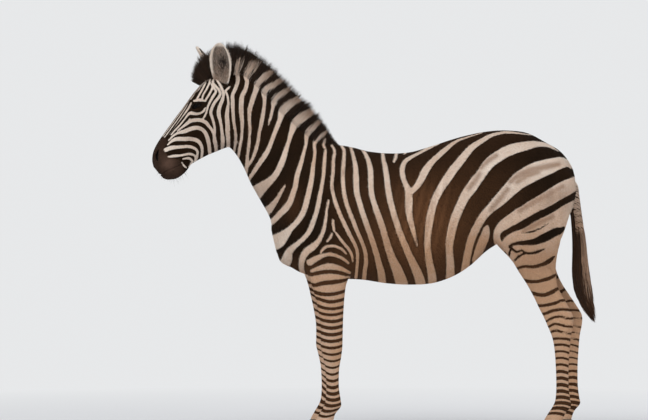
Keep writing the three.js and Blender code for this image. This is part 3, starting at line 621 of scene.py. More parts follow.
# ---------------------------------------------------------------- stripes
# The stripes grow in the coat itself: cream lines on a black-brown ground over head, neck and
# trunk, dark bands on cream down the legs. Each is a tapering stroke of its own, seen from the
# side: rows of x, z and width. The hide, the short coat and the mane all carry these strokes.
CREAM = [
    # cheek and jaw, from the muzzle outwards
    [(-72.7, 99.2, 1.3), (-70.7, 100, 1.4), (-67.9, 100.3, 1.1), (-64.8, 100.5, 1), (-62.7, 100, 0.9),
     (-61.5, 98.9, 0.8), (-61.5, 97.2, 0.7), (-62, 95.5, 0.6), (-62.4, 94.3, 0.4)],
    [(-72.2, 96.8, 0.5), (-69.6, 97.2, 0.9), (-67.2, 97.4, 0.7), (-64.4, 97.9, 0.8), (-62.7, 97.5, 0.7),
     (-62.1, 96.5, 0.6), (-62.5, 95.2, 0.4)],
    [(-66.4, 96.2, 0.5), (-64.4, 96.4, 0.8), (-63.3, 95.5, 0.7), (-63.7, 94.4, 0.7), (-64.4, 93.3, 0.5)],
    [(-66.9, 94.9, 0.5), (-66.1, 93.8, 0.6), (-65.3, 93.1, 0.4)],
    [(-71.8, 101.1, 0.4), (-70.3, 102.4, 0.9), (-68.6, 103.1, 1.3), (-65.8, 103.1, 1.4), (-63.4, 103.1, 1.3),
     (-61.3, 102.4, 1.3), (-60.2, 101, 1.1), (-59.8, 99.3, 0.9), (-59.9, 97.5, 0.8), (-60.2, 95.8, 0.6)],
    [(-71.5, 102.6, 0.4), (-70, 104.1, 0.6), (-68.2, 105.2, 0.8), (-66.1, 105.7, 1.3), (-64.4, 106.4, 1.4),
     (-62.7, 106.9, 1.4), (-60.9, 106.9, 1.3), (-59.2, 105.9, 1.2), (-58.2, 104.1, 1.3), (-57.6, 102, 1.3),
     (-57.3, 100, 1.2), (-57.1, 97.8, 1.1)],
    [(-68.5, 105.9, 0.4), (-66.7, 107.2, 0.7), (-65.1, 108.5, 1), (-63.4, 109.5, 1.2), (-61.3, 109.7, 1.2),
     (-59.9, 109.5, 1.2), (-58.5, 108.8, 1.2), (-57.5, 107.6, 1), (-56.4, 106.2, 0.9), (-55.7, 104.5, 0.9),
     (-55.4, 102.4, 1.3), (-55, 100.7, 1.3), (-54.9, 98.7, 0.9)],
    # behind the eye, down to the throat
    [(-56.3, 123.2, 0.5), (-55.4, 121.8, 0.7), (-54.3, 120.5, 0.8), (-53.6, 119.1, 0.8), (-54, 117.7, 0.9),
     (-55.4, 115.9, 1), (-56.4, 113.9, 1), (-56.8, 112.1, 1), (-56.3, 110.4, 0.9), (-55.7, 108.3, 0.8),
     (-55.4, 106.2, 0.7), (-55.5, 104.5, 0.8)],
    [(-55.7, 125, 0.5), (-55, 124, 0.7), (-53.8, 122.2, 0.8), (-52.8, 120.1, 0.9), (-52.4, 118.4, 0.9),
     (-52.8, 116.6, 1.1), (-53.5, 114.9, 1.2), (-54, 113.2, 1.3), (-54, 111.4, 1.3), (-53.5, 109.3, 1),
     (-53.1, 106.9, 0.9), (-52.8, 104.5, 1.1), (-52.6, 102.4, 1.3), (-52.8, 99.5, 1)],
    [(-50.3, 121.1, 0.7), (-51.6, 119.8, 0.7), (-51, 118, 0.7), (-50.7, 115.6, 0.8), (-51, 113.5, 1.1),
     (-51.2, 111.1, 1.4), (-51, 108.3, 1.5), (-50.9, 105.5, 1.5), (-50.7, 102.7, 1.3), (-50.7, 99.5, 1.1)],
    [(-55.9, 123.9, 0.4), (-56, 121.6, 0.6), (-55.1, 119.6, 0.7), (-55.7, 118.4, 0.9), (-56.8, 116.6, 0.8),
     (-57.8, 114.5, 0.7), (-58.3, 112.5, 0.6), (-58.9, 111.1, 0.6), (-59.6, 110, 0.5)],
    # forehead to brow
    [(-58.5, 124.3, 0.4), (-58.9, 122.2, 0.6), (-59.9, 120.1, 0.6), (-61.1, 118, 0.6), (-61.8, 116.6, 0.6)],
    [(-57.1, 123.9, 0.4), (-57.5, 122.2, 0.6), (-58.5, 120.1, 0.6), (-59.5, 118.4, 0.6), (-59.9, 116.6, 0.6)],
    [(-56.9, 122.6, 0.4), (-56.3, 121.1, 0.6), (-57.1, 119.1, 0.7), (-58.2, 117.3, 0.7), (-58.8, 116.3, 0.5)],
    [(-62.7, 116.3, 0.6), (-60.9, 116.65, 0.95), (-59.5, 116.4, 0.8), (-58.6, 116.2, 0.4)],
    # under the eye and down the nose
    [(-58.7, 114, 0.5), (-59.3, 112.9, 0.7), (-60.4, 112.1, 0.7), (-62, 111.85, 0.9), (-63.6, 112.1, 1.1),
     (-64.6, 111.7, 0.75), (-65.9, 110, 0.5), (-67.5, 108, 0.5), (-69.2, 106.2, 0.5), (-70.6, 104.6, 0.4)],
    [(-64, 110.2, 0.35), (-64.9, 109.2, 0.3), (-65.6, 108.5, 0.2)],
    [(-63.7, 115.5, 0.5), (-64.6, 113.7, 0.6), (-65.8, 112.1, 0.6), (-67.3, 110.2, 0.6), (-68.9, 108.1, 0.55),
     (-70.3, 106.4, 0.5), (-71.5, 104.6, 0.4)],
    [(-61.1, 121.8, 0.4), (-61.9, 120.2, 0.6), (-62.9, 118.5, 0.7), (-63.9, 117, 0.6)],
    # nape and throat
    [(-44.9, 134.5, 1.6), (-46.3, 131, 1.6), (-47.4, 128, 1.7), (-47.6, 125.6, 1.4), (-47.4, 123.4, 1.3),
     (-48.2, 120.7, 1.2), (-49.2, 118.4, 1.2), (-49.2, 115.7, 1.3), (-49.1, 112.6, 1.1),
     (-48.8, 109.1, 1), (-48.3, 106, 0.9), (-48.1, 103.7, 0.9), (-48.4, 100.6, 0.8), (-48.8, 97.5, 0.6)],
    [(-39, 132.6, 2.6), (-41.3, 129.6, 2.6), (-43.6, 126.8, 2.1), (-44.6, 124.8, 1.5), (-44.2, 123, 1.3),
     (-44.75, 120.3, 1.3), (-45.9, 118, 1.5), (-46.2, 115.7, 1.6), (-46.2, 112.6, 1.5), (-45.9, 109.1, 1.2),
     (-45.9, 106, 1), (-46.2, 102.9, 0.9), (-46.7, 100.2, 0.9), (-47.1, 97.5, 0.8), (-47.4, 95, 0.5)],
    # neck, each running up into the mane
    [(-33.5, 128.3, 1.6), (-36.8, 125.6, 2), (-40.3, 122.4, 2.2), (-40.9, 120.7, 1.8), (-41.7, 118.4, 1.6),
     (-42.6, 115.7, 1.6), (-43.3, 113, 1.4), (-43.4, 109.9, 1.1), (-43.2, 106.8, 1), (-43.3, 103.7, 0.9),
     (-43.6, 100.6, 1), (-44, 97.5, 0.9), (-44.2, 94.5, 1.2), (-44.6, 91.4, 1.2), (-44.9, 88.5, 0.8)],
    [(-30.3, 124.6, 1.8), (-34.5, 122.2, 1.9), (-38, 119.7, 2.1), (-38.1, 117.2, 1.3), (-38.2, 114.9, 1.1),
     (-38.6, 111.8, 1.2), (-39.2, 108.7, 1.3), (-39.9, 105.3, 1), (-40.4, 102.2, 1.1), (-41.3, 98.7, 1.1),
     (-42.4, 96, 0.9), (-43.6, 94, 0.8)],
    [(-27.2, 121.7, 1.5), (-31.1, 119.5, 1.7), (-34.5, 116.9, 2.1), (-35.2, 114.1, 1.1), (-35.7, 111.8, 1),
     (-36.3, 109.5, 0.8), (-36.8, 108, 0.4)],
    [(-23.4, 118.4, 2.2), (-28, 116.1, 2.4), (-31.6, 113.3, 2.8), (-32.6, 110.3, 1.7), (-33.6, 107.6, 1.5),
     (-34.7, 104.9, 1.4), (-35.7, 102.2, 1.4), (-36.8, 99.5, 1.5), (-38.2, 97, 1.6), (-39.7, 94.9, 1.5),
     (-41.3, 92.5, 1.4), (-42.8, 90.2, 1.1), (-44, 88.2, 1)],
    [(-18.6, 114.6, 2.4), (-22.6, 112.2, 2.6), (-27, 109.2, 2.8), (-28.6, 105.8, 1.8), (-29.3, 103.7, 1.4),
     (-30, 101.4, 1.3), (-30.7, 99.1, 1.6), (-31.4, 96.8, 1.9), (-32.3, 94.5, 2), (-33.4, 92.1, 2),
     (-35.1, 89.6, 2.1), (-37.2, 87.7, 2.8), (-39.3, 86, 3.8), (-41.5, 84, 5)],
    [(-30.8, 87.2, 0.4), (-32.1, 85.1, 1), (-33.5, 82.6, 1.3), (-34.9, 80.6, 1.8), (-36.6, 78.6, 2.6),
     (-38.4, 76.8, 3)],
    [(-16.6, 111, 1.6), (-20.3, 108, 1.8), (-23.2, 105.2, 1.7), (-23.7, 101.4, 1), (-24.3, 99.1, 1.1),
     (-24.9, 96.8, 1.2), (-25.5, 94.5, 1.4), (-26.8, 90.4, 1.6), (-27.4, 86.7, 1.7), (-28.2, 84.3, 1.8),
     (-29.2, 81.4, 2), (-30.6, 79.2, 2.2), (-32.5, 77.3, 2), (-34.1, 75.6, 1.9), (-36, 73.8, 1.8)],
    [(-14.8, 107, 1.1), (-17.9, 104.5, 1.2), (-20.6, 101.8, 1.2), (-20.6, 98.7, 1), (-20.8, 96.4, 1.1),
     (-21.2, 94.1, 1.3), (-21.6, 90.4, 1.5), (-22.1, 87.5, 1.7), (-22.7, 84.7, 1.8), (-23.5, 81.4, 1.9),
     (-24.3, 78.6, 1.9), (-25.5, 76.1, 1.9), (-27.2, 73.9, 1.8), (-29.2, 71.8, 2), (-31.3, 69.6, 3.4),
     (-33.6, 67.6, 5), (-36, 66.5, 5)],
    # withers and shoulder
    [(-17, 103, 0.6), (-17.7, 101.4, 0.8), (-17, 99.5, 0.9), (-17.1, 97.5, 1), (-17.3, 95.2, 1.2),
     (-17.6, 90.8, 1.2), (-18.1, 87.5, 1.2), (-18.8, 83.9, 1.4), (-19.4, 80.6, 1.5), (-20.2, 77.3, 1.5),
     (-21.3, 74.1, 1.6), (-22.5, 71.2, 1.6), (-24.3, 68.8, 1.5), (-26.4, 66.9, 1.6), (-28.4, 65.2, 2),
     (-29.8, 63.4, 2.7), (-30.4, 61, 3.6), (-32, 58.5, 4)],
    [(-15.9, 81.8, 0.7), (-16.3, 79.4, 0.9), (-16.6, 76.9, 0.9), (-17, 74.5, 1), (-17.5, 71.8, 1.2),
     (-18.4, 69.4, 1.3), (-19.6, 67.3, 1.7), (-21.5, 65.5, 2.3), (-23.5, 64, 2.4), (-24.9, 61.8, 2.1),
     (-25.3, 59, 1.8), (-24.7, 56, 1.6)],
    [(-14.3, 74.8, 0.8), (-14.2, 73.3, 1), (-14, 71.3, 0.8)],
    [(-14.7, 70.1, 0.8), (-15.3, 68.8, 0.9), (-16.4, 67.5, 0.6)],
    [(-13.5, 70.7, 0.5), (-12.1, 68.8, 0.9), (-10.2, 66.3, 1), (-8.8, 64.7, 1), (-7.8, 62.6, 0.9),
     (-7.5, 60.6, 0.6)],
    # above the forearm
    [(-18.6, 63.7, 0.6), (-17.4, 65.2, 0.9), (-15.5, 65.9, 0.9), (-13.3, 65.7, 0.9), (-11.2, 64.7, 0.9),
     (-9.8, 63.2, 0.6)],
    [(-22.4, 60.2, 2.2), (-20.2, 61.5, 2), (-17.8, 62.6, 1.3), (-15.3, 63, 1.1), (-12.9, 62.4, 1.1),
     (-10.8, 61.4, 1), (-9, 60, 0.8)],
    [(-21.8, 57.2, 1), (-19, 58.2, 1.7), (-16.1, 58.8, 2.2), (-13.3, 58.5, 1.9), (-10.8, 57.7, 1.4),
     (-8.6, 56.6, 0.9)],
    # barrel
    [(-14.7, 100.8, 0.8), (-13.7, 98.7, 1), (-14.2, 96, 1.1), (-14.3, 92, 1.15), (-14.7, 88, 1.15),
     (-14.4, 84.4, 1.2), (-12.9, 79.4, 1.3), (-11.1, 75.2, 1.3), (-9.4, 71.6, 1.3), (-7.9, 68.6, 1.2),
     (-6.4, 65.6, 1.1), (-5.8, 62.6, 1.1), (-6, 59, 1), (-6.4, 55, 1)],
    [(-11.5, 101, 0.8), (-10.5, 99.2, 1.1), (-10.5, 96.5, 1.2), (-10.8, 93, 1.3), (-10.9, 89, 1.3),
     (-10.5, 84.6, 1.35), (-9.5, 80.2, 1.4), (-7.7, 75.6, 1.4), (-6.1, 71.4, 1.3), (-4.2, 67, 1.2),
     (-3.1, 63.5, 1.3), (-2.9, 60.3, 1.4), (-3.3, 57.5, 1.4), (-3.6, 53, 1.4)],
    [(-8.3, 100.4, 0.8), (-7.6, 98.6, 1), (-6.8, 95, 1.4), (-6.4, 92.2, 1.7), (-6.3, 88.5, 1.95),
     (-6.1, 84.8, 1.9), (-5.2, 81.1, 1.8), (-3.75, 76.5, 1.8), (-2.1, 71.9, 1.8), (-0.7, 67.7, 1.8),
     (0.65, 63.5, 1.9), (1.6, 59.8, 2.1), (2.4, 56.6, 2.5), (3, 52, 2.6)],
    [(-4.2, 99.4, 0.9), (-3, 97.8, 1.2), (-1.9, 95.2, 1.5), (-1.3, 92, 1.8), (-1.2, 88, 1.8),
     (-1, 84.6, 1.8), (-0.2, 81.2, 1.8), (1.1, 77.4, 2), (2.7, 72.8, 2.1), (3.9, 68.6, 2.2),
     (5, 64.9, 2.4), (6.4, 61.2, 2.8), (8, 57.5, 3.6), (9.6, 53, 4.2)],
    [(3, 99.2, 1), (3.1, 96.6, 1.3), (3.9, 92.7, 1.7), (4.35, 89.4, 1.9), (4.8, 85.7, 2),
     (5.7, 81.1, 2), (7.1, 76, 2), (8.75, 70.9, 2.1), (10.6, 66.3, 2.2), (12.2, 62.6, 2.4),
     (13.8, 59.2, 2.8), (15.4, 55.5, 3.2), (16.4, 52, 3.4)],
    [(7.9, 98.6, 0.9), (7.5, 96.8, 1.1), (6.9, 95.2, 0.8)],
    [(10.5, 97.9, 0.6), (11.4, 98.8, 0.8), (12.6, 99.4, 0.3)],
    [(22.6, 101.4, 0.3), (18.9, 99.9, 0.8), (15.2, 98, 0.9), (12.5, 96.6, 1.2), (10.6, 95.1, 1.5),
     (9.7, 92.7, 1.7), (9.9, 90.2, 1.7), (10.8, 87.6, 1.7), (11.8, 85.2, 2.2), (12, 82, 2.6), (12, 78.3, 2.3),
     (12.6, 74.6, 2), (13.6, 70.9, 1.5), (14.5, 67.7, 0.9), (14.9, 65.6, 0.3)],
    [(37.7, 105.3, 0.2), (32.4, 103.7, 0.45), (28.4, 102.2, 0.9), (24.7, 99.4, 1.6), (22.3, 97.3, 1.8),
     (19.9, 95, 2), (17.8, 92.2, 2.5), (16.2, 89, 2.3), (14.8, 86.7, 2), (12.9, 84.8, 1.8)],
    # flank and rump
    [(54.8, 104.4, 0.2), (49.8, 105.1, 0.5), (46.4, 105.4, 0.8), (43.5, 105.1, 0.9), (40.6, 104.3, 1.2),
     (38.2, 103, 1.6), (35.8, 101.5, 1.8), (33.6, 99.9, 2.1), (31.6, 97.6, 2.5), (29.2, 94.6, 2.8),
     (27.4, 92.4, 2.9), (25.9, 90.2, 2.9), (24.4, 88, 2.8), (23, 85.8, 2.6), (21.5, 83, 2.5),
     (20.5, 80.4, 2.4), (19.8, 77.8, 2.5), (19.2, 74.6, 2.6), (18.7, 70.9, 2.3), (18.5, 67.2, 2.2),
     (18.7, 63.5, 2.3), (19.2, 59.8, 2.5), (19.9, 56.6, 2.8), (20.4, 52, 3)],
    [(64.1, 98.7, 0.2), (61.9, 100, 0.7), (59.9, 100.9, 1.2), (56.7, 101.3, 1.9), (54.2, 101, 2.7),
     (51.3, 100.4, 3.2), (48.4, 99.7, 3.6), (45.5, 98.5, 3.7), (43, 97, 3.7), (40.3, 95.1, 3.7),
     (38.4, 92.8, 3.5), (36.8, 90.4, 3.4), (35.1, 88.3, 3.7), (33.7, 86.2, 3.8), (32.1, 84.1, 3.5),
     (30.9, 82.1, 3.2), (30, 80.1, 3.1), (29, 77.9, 3.1), (28.2, 75.9, 3.1), (27.4, 73.4, 3),
     (26.7, 70.3, 2.9), (26.1, 66.5, 2.6), (26.2, 62.6, 2.5), (26.4, 59.4, 2.7), (26.4, 55, 3)],
    [(68.3, 93.3, 1.2), (67, 94.5, 2.1), (64.9, 94.8, 3.8), (62.8, 94.3, 4.5), (60.8, 93.6, 5.2),
     (58.7, 92.9, 5.6), (56.6, 92.1, 6), (54.6, 91.2, 6.1), (52.5, 90, 6), (50.4, 88.7, 5.7),
     (48.4, 86.9, 5.2), (46.3, 84.8, 4.7), (44.2, 82.6, 4.3), (42.2, 80.7, 3.7), (40.1, 78.7, 3),
     (37.9, 76.3, 2.8), (36, 73.2, 2.7), (34.4, 70, 2.7), (33.2, 66.6, 2.6), (32.6, 64, 2.5), (32, 61, 2.6),
     (31.4, 57, 2.8)],
    [(39.3, 73, 0.6), (38.9, 71.6, 2.2), (38.4, 69.3, 3.1), (37.4, 66.8, 3.2), (36.4, 64.3, 3),
     (35.4, 61, 2.8)],
    [(69.6, 87.6, 4.6), (67, 86.3, 5.2), (64.9, 85.2, 5.3), (62.8, 84, 5.2), (60.8, 82.7, 5.1),
     (58.7, 81.5, 5), (56.6, 80.4, 4.7), (54.6, 79.3, 4.6), (52.5, 78, 4.4), (50.4, 76.8, 4.4),
     (48.4, 75.5, 4.2), (46.3, 74.2, 3.9), (44.5, 72.9, 3.4), (43, 71.3, 2.6), (42.5, 69.5, 2.3),
     (42.9, 67.3, 2.5), (44, 65, 2.7), (45.6, 62.4, 2.4)],
    [(69.2, 80.8, 1.8), (67.2, 77.6, 5.6), (64.9, 75.7, 6.2), (62.8, 75, 5.3), (60.8, 74.1, 5),
     (58.7, 73.1, 5), (56.6, 72, 4.9), (54.6, 70.8, 4.8), (52.5, 70, 4.2), (50.4, 69.5, 3.7),
     (48.4, 68.9, 3.4), (46.6, 67.9, 3), (45.4, 66.4, 2.4), (45.8, 64.6, 1.6)],
    [(66.4, 75, 1.6), (67, 73, 1.8), (66.8, 71.2, 1.4)],
]
EBONY = [     # short dark wedges inside the cream of the thigh, and the dark round the eye
    [(50.9, 70.4, 0.2), (53.2, 70.6, 0.6), (56, 71.3, 0.7), (58.6, 72.6, 0.5), (61, 74.2, 0.2)],
    [(-63.9, 113.3, 0.7), (-62.3, 114.5, 2.3), (-60.7, 114.8, 2.7), (-59.3, 115, 2.2), (-58.2, 115.5, 0.9)],
    [(-66, 95.2, 0.3), (-65.2, 95.2, 0.8), (-64.8, 94.6, 0.4)],
]
# Dark bands of the thigh and gaskin, then level by level down each leg
HIND_BANDS = [
    [(46.7, 62, 0.6), (47.5, 64.9, 0.9), (49.4, 63.8, 0.8), (51.2, 64.5, 0.7), (52.3, 63.6, 0.9),
     (54.7, 63.4, 0.9), (57, 64, 1), (59.2, 64.9, 0.5)],
    [(48.7, 60.8, 0.7), (50.2, 62.3, 0.9), (52.2, 63.3, 0.7)],
    [(49, 57.8, 1), (51.9, 58.8, 1), (55.2, 58.7, 1.2), (58.4, 59.5, 1.4), (60.7, 60.7, 1.6),
     (62.6, 62.4, 0.6)],
    [(51, 54.2, 1.1), (53.8, 53.6, 1.2), (56.6, 53.6, 1.1), (59.4, 54.3, 1.3), (61.2, 54.9, 1.3),
     (63.4, 56.2, 0.8)],
    [(53, 50.2, 1.2), (56.1, 49.2, 1.3), (58.9, 48.9, 1.3), (61.7, 49.9, 1.4), (63.7, 51.1, 1.1),
     (66, 51.6, 0.6)],
    [(55, 45.8, 1), (57.5, 45.2, 1), (60.3, 45.5, 1.1), (63.1, 46.2, 1.1), (65, 47, 1),
     (68, 46.9, 0.8)],
    [(56.6, 42.2, 0.9), (59.2, 42.4, 1), (61.7, 43.4, 1.1), (64.4, 43.8, 1), (67.7, 43.7, 1),
     (70.8, 43.3, 0.9)],
    [(58, 38.8, 0.7), (60, 39.9, 0.8), (61.9, 41, 0.9), (64.4, 41.3, 0.9), (67.2, 40.8, 0.9),
     (70.5, 40.9, 0.8)],
    [(58.8, 36.6, 0.7), (60.8, 38, 0.8), (62.8, 38.9, 0.9), (65.4, 38.3, 0.9), (68.6, 37.8, 0.8)],
    [(59.4, 34.6, 0.7), (61.4, 36, 0.8), (63.2, 36.6, 0.9), (65.4, 36, 0.8), (68.8, 35.4, 0.8)],
]
FORE_BANDS = [
    [(-23, 52.8, 1.2), (-20.7, 52.3, 1.3), (-17.8, 53, 1.5), (-15, 53.3, 1.6), (-11.7, 53.7, 1.3),
     (-9, 54.4, 0.9)],
    [(-23, 50.6, 1), (-21.1, 50, 1.2), (-18.6, 49.3, 1.3), (-15.4, 49.1, 1.3), (-12.1, 49.7, 1.2),
     (-9, 50.8, 0.9)],
    [(-22, 48.6, 0.9), (-20.5, 48, 1), (-17.4, 46.9, 1.2), (-15, 46.5, 1.2), (-11.7, 47.1, 1.1),
     (-9, 48, 0.9)],
    [(-21.6, 46.1, 0.9), (-20.3, 45.5, 1), (-17.4, 44.4, 1.1), (-14.6, 44.1, 1.1), (-11.6, 44.6, 1),
     (-9, 45.4, 0.8)],
]
FORE_LEVELS = [42.9, 40.6, 38.3, 36, 33.7, 31.4, 29.1, 26.8, 24.5, 22.2, 19.9, 17.6, 15.4, 13.3, 11.3,
               9.4, 7.6]
HIND_LEVELS = [33.4, 31.2, 28.9, 26.6, 24.3, 21.9, 19.6, 17.3, 15.1, 13, 11, 9.2, 7.4]
BAND_HALF = 0.64                 # half width of the level bands
# Faint brown shadows inside the broad cream of the quarters
SHADOWS = [
    [(47.2, 88.2, 0.5), (50.2, 90.4, 0.9), (54, 92, 1.1), (58.5, 93.2, 0.9), (64, 94.3, 0.4)],
    [(49.6, 88, 0.3), (53, 90.2, 0.5), (57, 91.6, 0.4)],
    [(50.5, 78.2, 0.4), (55, 80.8, 0.8), (60, 83.6, 0.9), (65.5, 86.6, 0.7)],
    [(40.4, 78.5, 0.3), (43.4, 82, 0.6), (46.4, 85.8, 0.5)],
    [(52, 71.2, 0.3), (57, 73.8, 0.6), (62, 76.2, 0.4)],
    [(37, 93.2, 0.3), (39.4, 95.4, 0.6), (42.4, 97.4, 0.4)],
    [(33, 86, 0.3), (35.2, 88.8, 0.5), (36.6, 91, 0.3)],
]
# Where the bands of each leg take over from the stripes of the trunk
FORE_ZONE = ([-21.5, -18.6, -15.3, -12.5, -10], [55.4, 56, 56.3, 56, 55.4])
HIND_ZONE = ([44, 46, 48.5, 50.4, 54.6, 56.6, 58.7, 60.8, 62.8, 64.9, 66.5, 68],
             [62.6, 64.4, 66.1, 66.2, 66.1, 66.4, 67, 67.9, 69.1, 70.1, 72, 74])
DOCK_BARS = (1.04, 0.85, 0.2)    # spacing, slant and half width of the fine dark bars on the dock
SIDE_VIEW = (1231, -17.6, 78.5)  # the side view of the strokes: from how far, and level with where
# Where the dark is brown rather than black, with a lighter brown under the eye as a painted highlight
# on the lower lid; and where the cream is dull, mostly as painted shade over face, neck, chest, lower
# barrel and gaskin, and with the thigh's duller cream: x, z, reach each way and how much
BROWN_AND_LID_HIGHLIGHT_PLACES = [(17, 73, 11, 13, 0.74), (33, 93, 8, 6, 0.07), (-28, 79, 4, 6, 0.25),
                # the lighter brown under the eye is a painted highlight on the lower lid
                (-62, 113.4, 1.4, 0.4, 0.16), (-12, 60, 7, 6, 0.3)]
DULL_AND_SHADED_PLACES = [(-59, 107, 12, 14, 0.36), (-43, 106, 8, 18, 0.4), (-37, 84, 8, 8, 0.42), (-1, 68, 10, 8, 0.42),
               (62, 83, 9, 5, 0.58), (57, 61, 9, 9, 0.4)]
# The edge of the dark muzzle: up, and along at that height
MUZZLE_EDGE = np.array([
    (-9, 24.4), (-6.6, 24.1), (-5.6, 24.1), (-4.1, 23.3), (-2.3, 23.2), (-0.9, 24.3), (0.8, 25.6),
    (2.2, 25.3), (3.8, 25.1), (4.5, 23.7), (4.8, 22.5), (6.4, 21.9), (7.7, 22.4), (9, 22.6)])
NOSE_LINES, NOSE_LINE_HALF = (0.0, 0.25, 0.48), 0.06         # dark lines down the face, and half width
NOSE_ZONE = 0.66                 # they lie within this share of the face's half width
NOSE_SPREAD = ([-7, -4, -1, 3, 7, 30], [0.16, 0.3, 0.62, 0.92, 1.0, 1.0])     # closer above the brow
LEFT_RIGHT = 0.75                # how far the right side's stripes wander from the left's


def nearest_stroke(x, z, strokes):
    out = np.full(len(x), 6.0)
    for rows in strokes:
        out = np.minimum(out, from_stroke(x, z, rows))
    return out


# Bands at given levels round a leg, each sagging in the middle of the outer side.
def level_bands(x, z, levels, middle, half, sag, width):
    across = np.clip((x - middle) / half, -1.3, 1.3)
    bow = sag * (1 - across * across)
    gaps = [np.abs(z + bow - level) - width * (0.8 + 0.2 * math.sin(3 * level)) for level in levels]
    return np.min(gaps, axis=0)


def spread(x, z, places):
    return sum(much * np.exp(-((x - at_x) / wide) ** 2 - ((z - at_z) / tall) ** 2)
               for at_x, at_z, wide, tall, much in places)


# How brown the dark is: least on head, neck and quarters, most on the flank and the legs, with a
# lighter brown painted as a highlight on the lower lid.
def brown_of(x, z):
    barrel = smooth_step(x, -22, -6) * smooth_step(-x, -58, -42)
    brown = 0.03 + 0.27 * barrel * (1 - 0.6 * smooth_step(z, 82, 96))
    brown += 0.15 * smooth_step(-z, -80, -66) * smooth_step(x, -12, -2) * smooth_step(-x, -44, -30)
    brown += spread(x, z, BROWN_AND_LID_HIGHLIGHT_PLACES)
    legs = smooth_step(-z, -66, -56) * np.maximum(smooth_step(-x, 2, 8), smooth_step(x, 42, 48))
    return np.maximum(np.minimum(brown, 0.9), 0.5 * legs)


# The strokes are drawn as the side view shows them: nearer points seem farther from its middle.
# On the right side the strokes wander a little from those of the left.
def in_side_view(x, y, z):
    far, mid_x, mid_z = SIDE_VIEW
    nearer = far / (far - np.abs(y))
    x, z = mid_x + (x - mid_x) * nearer, mid_z + (z - mid_z) * nearer
    side = smooth_step(y, 1.0, 9.0) * smooth_step(x, -50, -42)
    x = x + side * LEFT_RIGHT * (np.sin(z * 0.19 + 1) + 0.6 * np.sin(z * 0.43 + x * 0.11))
    return x, z + side * LEFT_RIGHT * 0.8 * np.sin(x * 0.17 + 2)


# The bands of the fore or hind legs, written into the marks below the edge of the trunk's.
def add_leg_bands(mark, x, y, z, leg, levels, bands, edge, sag):
    over = z - np.interp(x, *edge)
    near = (x > -29) & (x < -8.4) if leg == "foreleg" else (x > 43.5) & (x < 78)
    i = np.flatnonzero(near & (over > 0) & (over < 4))
    mark[i] = np.maximum(mark[i], -over[i])
    i = np.flatnonzero(near & (over <= 0))
    x, y, z, over = x[i], y[i], z[i], over[i]
    x = x - np.where(y > 0, leg_step(leg + "_right", z), 0)
    front, back, off, _ = within(z, LEGS[leg + "_left"][0])
    bands_round = level_bands(x, z, levels, (front + back) / 2, (back - front) / 2, sag, BAND_HALF)
    dark = np.minimum(nearest_stroke(x, z, bands), bands_round)
    dark += 0.14 * smooth_step(off - np.abs(y), 0.2, 2.5) * smooth_step(z, 8, 20)
    mark[i] = np.where(mark[i] < 0, np.minimum(dark, -over), dark)


# Where the dock is, and the fine bars across its back and sides.
def dock_bars(x, y, z):
    spacing, slant, half = DOCK_BARS
    middle, deep, wide = within(z, DOCK)
    dock = (np.hypot((x - middle) / (deep + 0.4), y / (wide + 0.4)) < 1) & (z > 56) & (z < 87)
    wander = z + slant * (x - middle) + 0.15 * np.sin(1.7 * z) + 0.12 * np.sin(2.3 * x + y)
    bar = np.abs(np.mod(wander / spacing, 1) - 0.5) * spacing - half * (1 + 0.35 * np.sin(2.9 * z))
    return dock, np.minimum(bar, x - middle + 0.5 * deep)


# The marks with the fine lines down the face to the nose, which run clear of the cheek's.
def with_nose_lines(mark, x, z, bent):
    along, up = head_axes(x, z)
    _, _, level, wide, _, _ = within(along, HEAD)
    share = bent / (wide * np.interp(along, *NOSE_SPREAD))
    beside = share - NOSE_ZONE
    lines = np.min([np.abs(share - at) - NOSE_LINE_HALF for at in NOSE_LINES], axis=0)
    lines = np.minimum(lines, -0.05 - beside) * wide
    lines = np.where(beside < 0, lines, np.minimum(mark, (beside - 0.04) * wide))
    return np.where((x < -50) & (along > -7) & (along < 27) & (up > 3) & (up > level + 2), lines, mark)


# Returns three values a point: distance into cream (dark is negative); brown shadow stripes and
# painted shade on the cream, brown in the dark, and in the muzzle a painted sheen; distance into the muzzle.
def markings(points):
    x, y, z = np.array(points, dtype=float).T
    x, z = in_side_view(x, y, z)
    bent = np.abs(y - sway(x))
    mark = np.minimum(-nearest_stroke(x, z, CREAM), nearest_stroke(x, z, EBONY))
    spine = bent - 0.5 - 0.2 * np.sin(x * 0.9)
    mark = np.where((x > -12) & (z > 88) & (x < 69), np.minimum(mark, spine), mark)
    add_leg_bands(mark, x, y, z, "foreleg", FORE_LEVELS, FORE_BANDS, FORE_ZONE, 0.9)
    add_leg_bands(mark, x, y, z, "hindleg", HIND_LEVELS, HIND_BANDS, HIND_ZONE, -0.5)
    dock, bars = dock_bars(x, y, z)
    mark = with_nose_lines(np.where(dock, bars, mark), x, z, bent)
    shade = 0.7 * np.exp(-(np.maximum(nearest_stroke(x, z, SHADOWS), 0) / 0.7) ** 2)
    # Painted shade: the dull places darken the cream towards brown over face, neck, chest, lower barrel and
    # gaskin, and give the thigh a duller cream.
    shade = np.maximum(shade, spread(x, z, DULL_AND_SHADED_PLACES))
    shade = np.where(dock, 0.5 + 0.35 * smooth_step(-z, -74, -60), shade)
    shade = np.where(mark < 0, brown_of(x, z) * smooth_step(-mark, 0, 0.3), shade)
    along, up = head_axes(x, z)
    muzzle = np.where(x < -60, along - np.interp(up, *MUZZLE_EDGE.T), -6)
    # Painted sheen: a lighter grey spot in the middle of the muzzle, over the upper lip and nostril.
    pale = np.exp(-((along - 26.8) / 2.6) ** 2 - ((up + 1.2) / 3.4) ** 2)
    shade = np.where(muzzle > -0.2, pale, shade)
    return np.stack([np.clip(mark, -3, 3), shade, np.clip(muzzle, -3, 3)], axis=1)


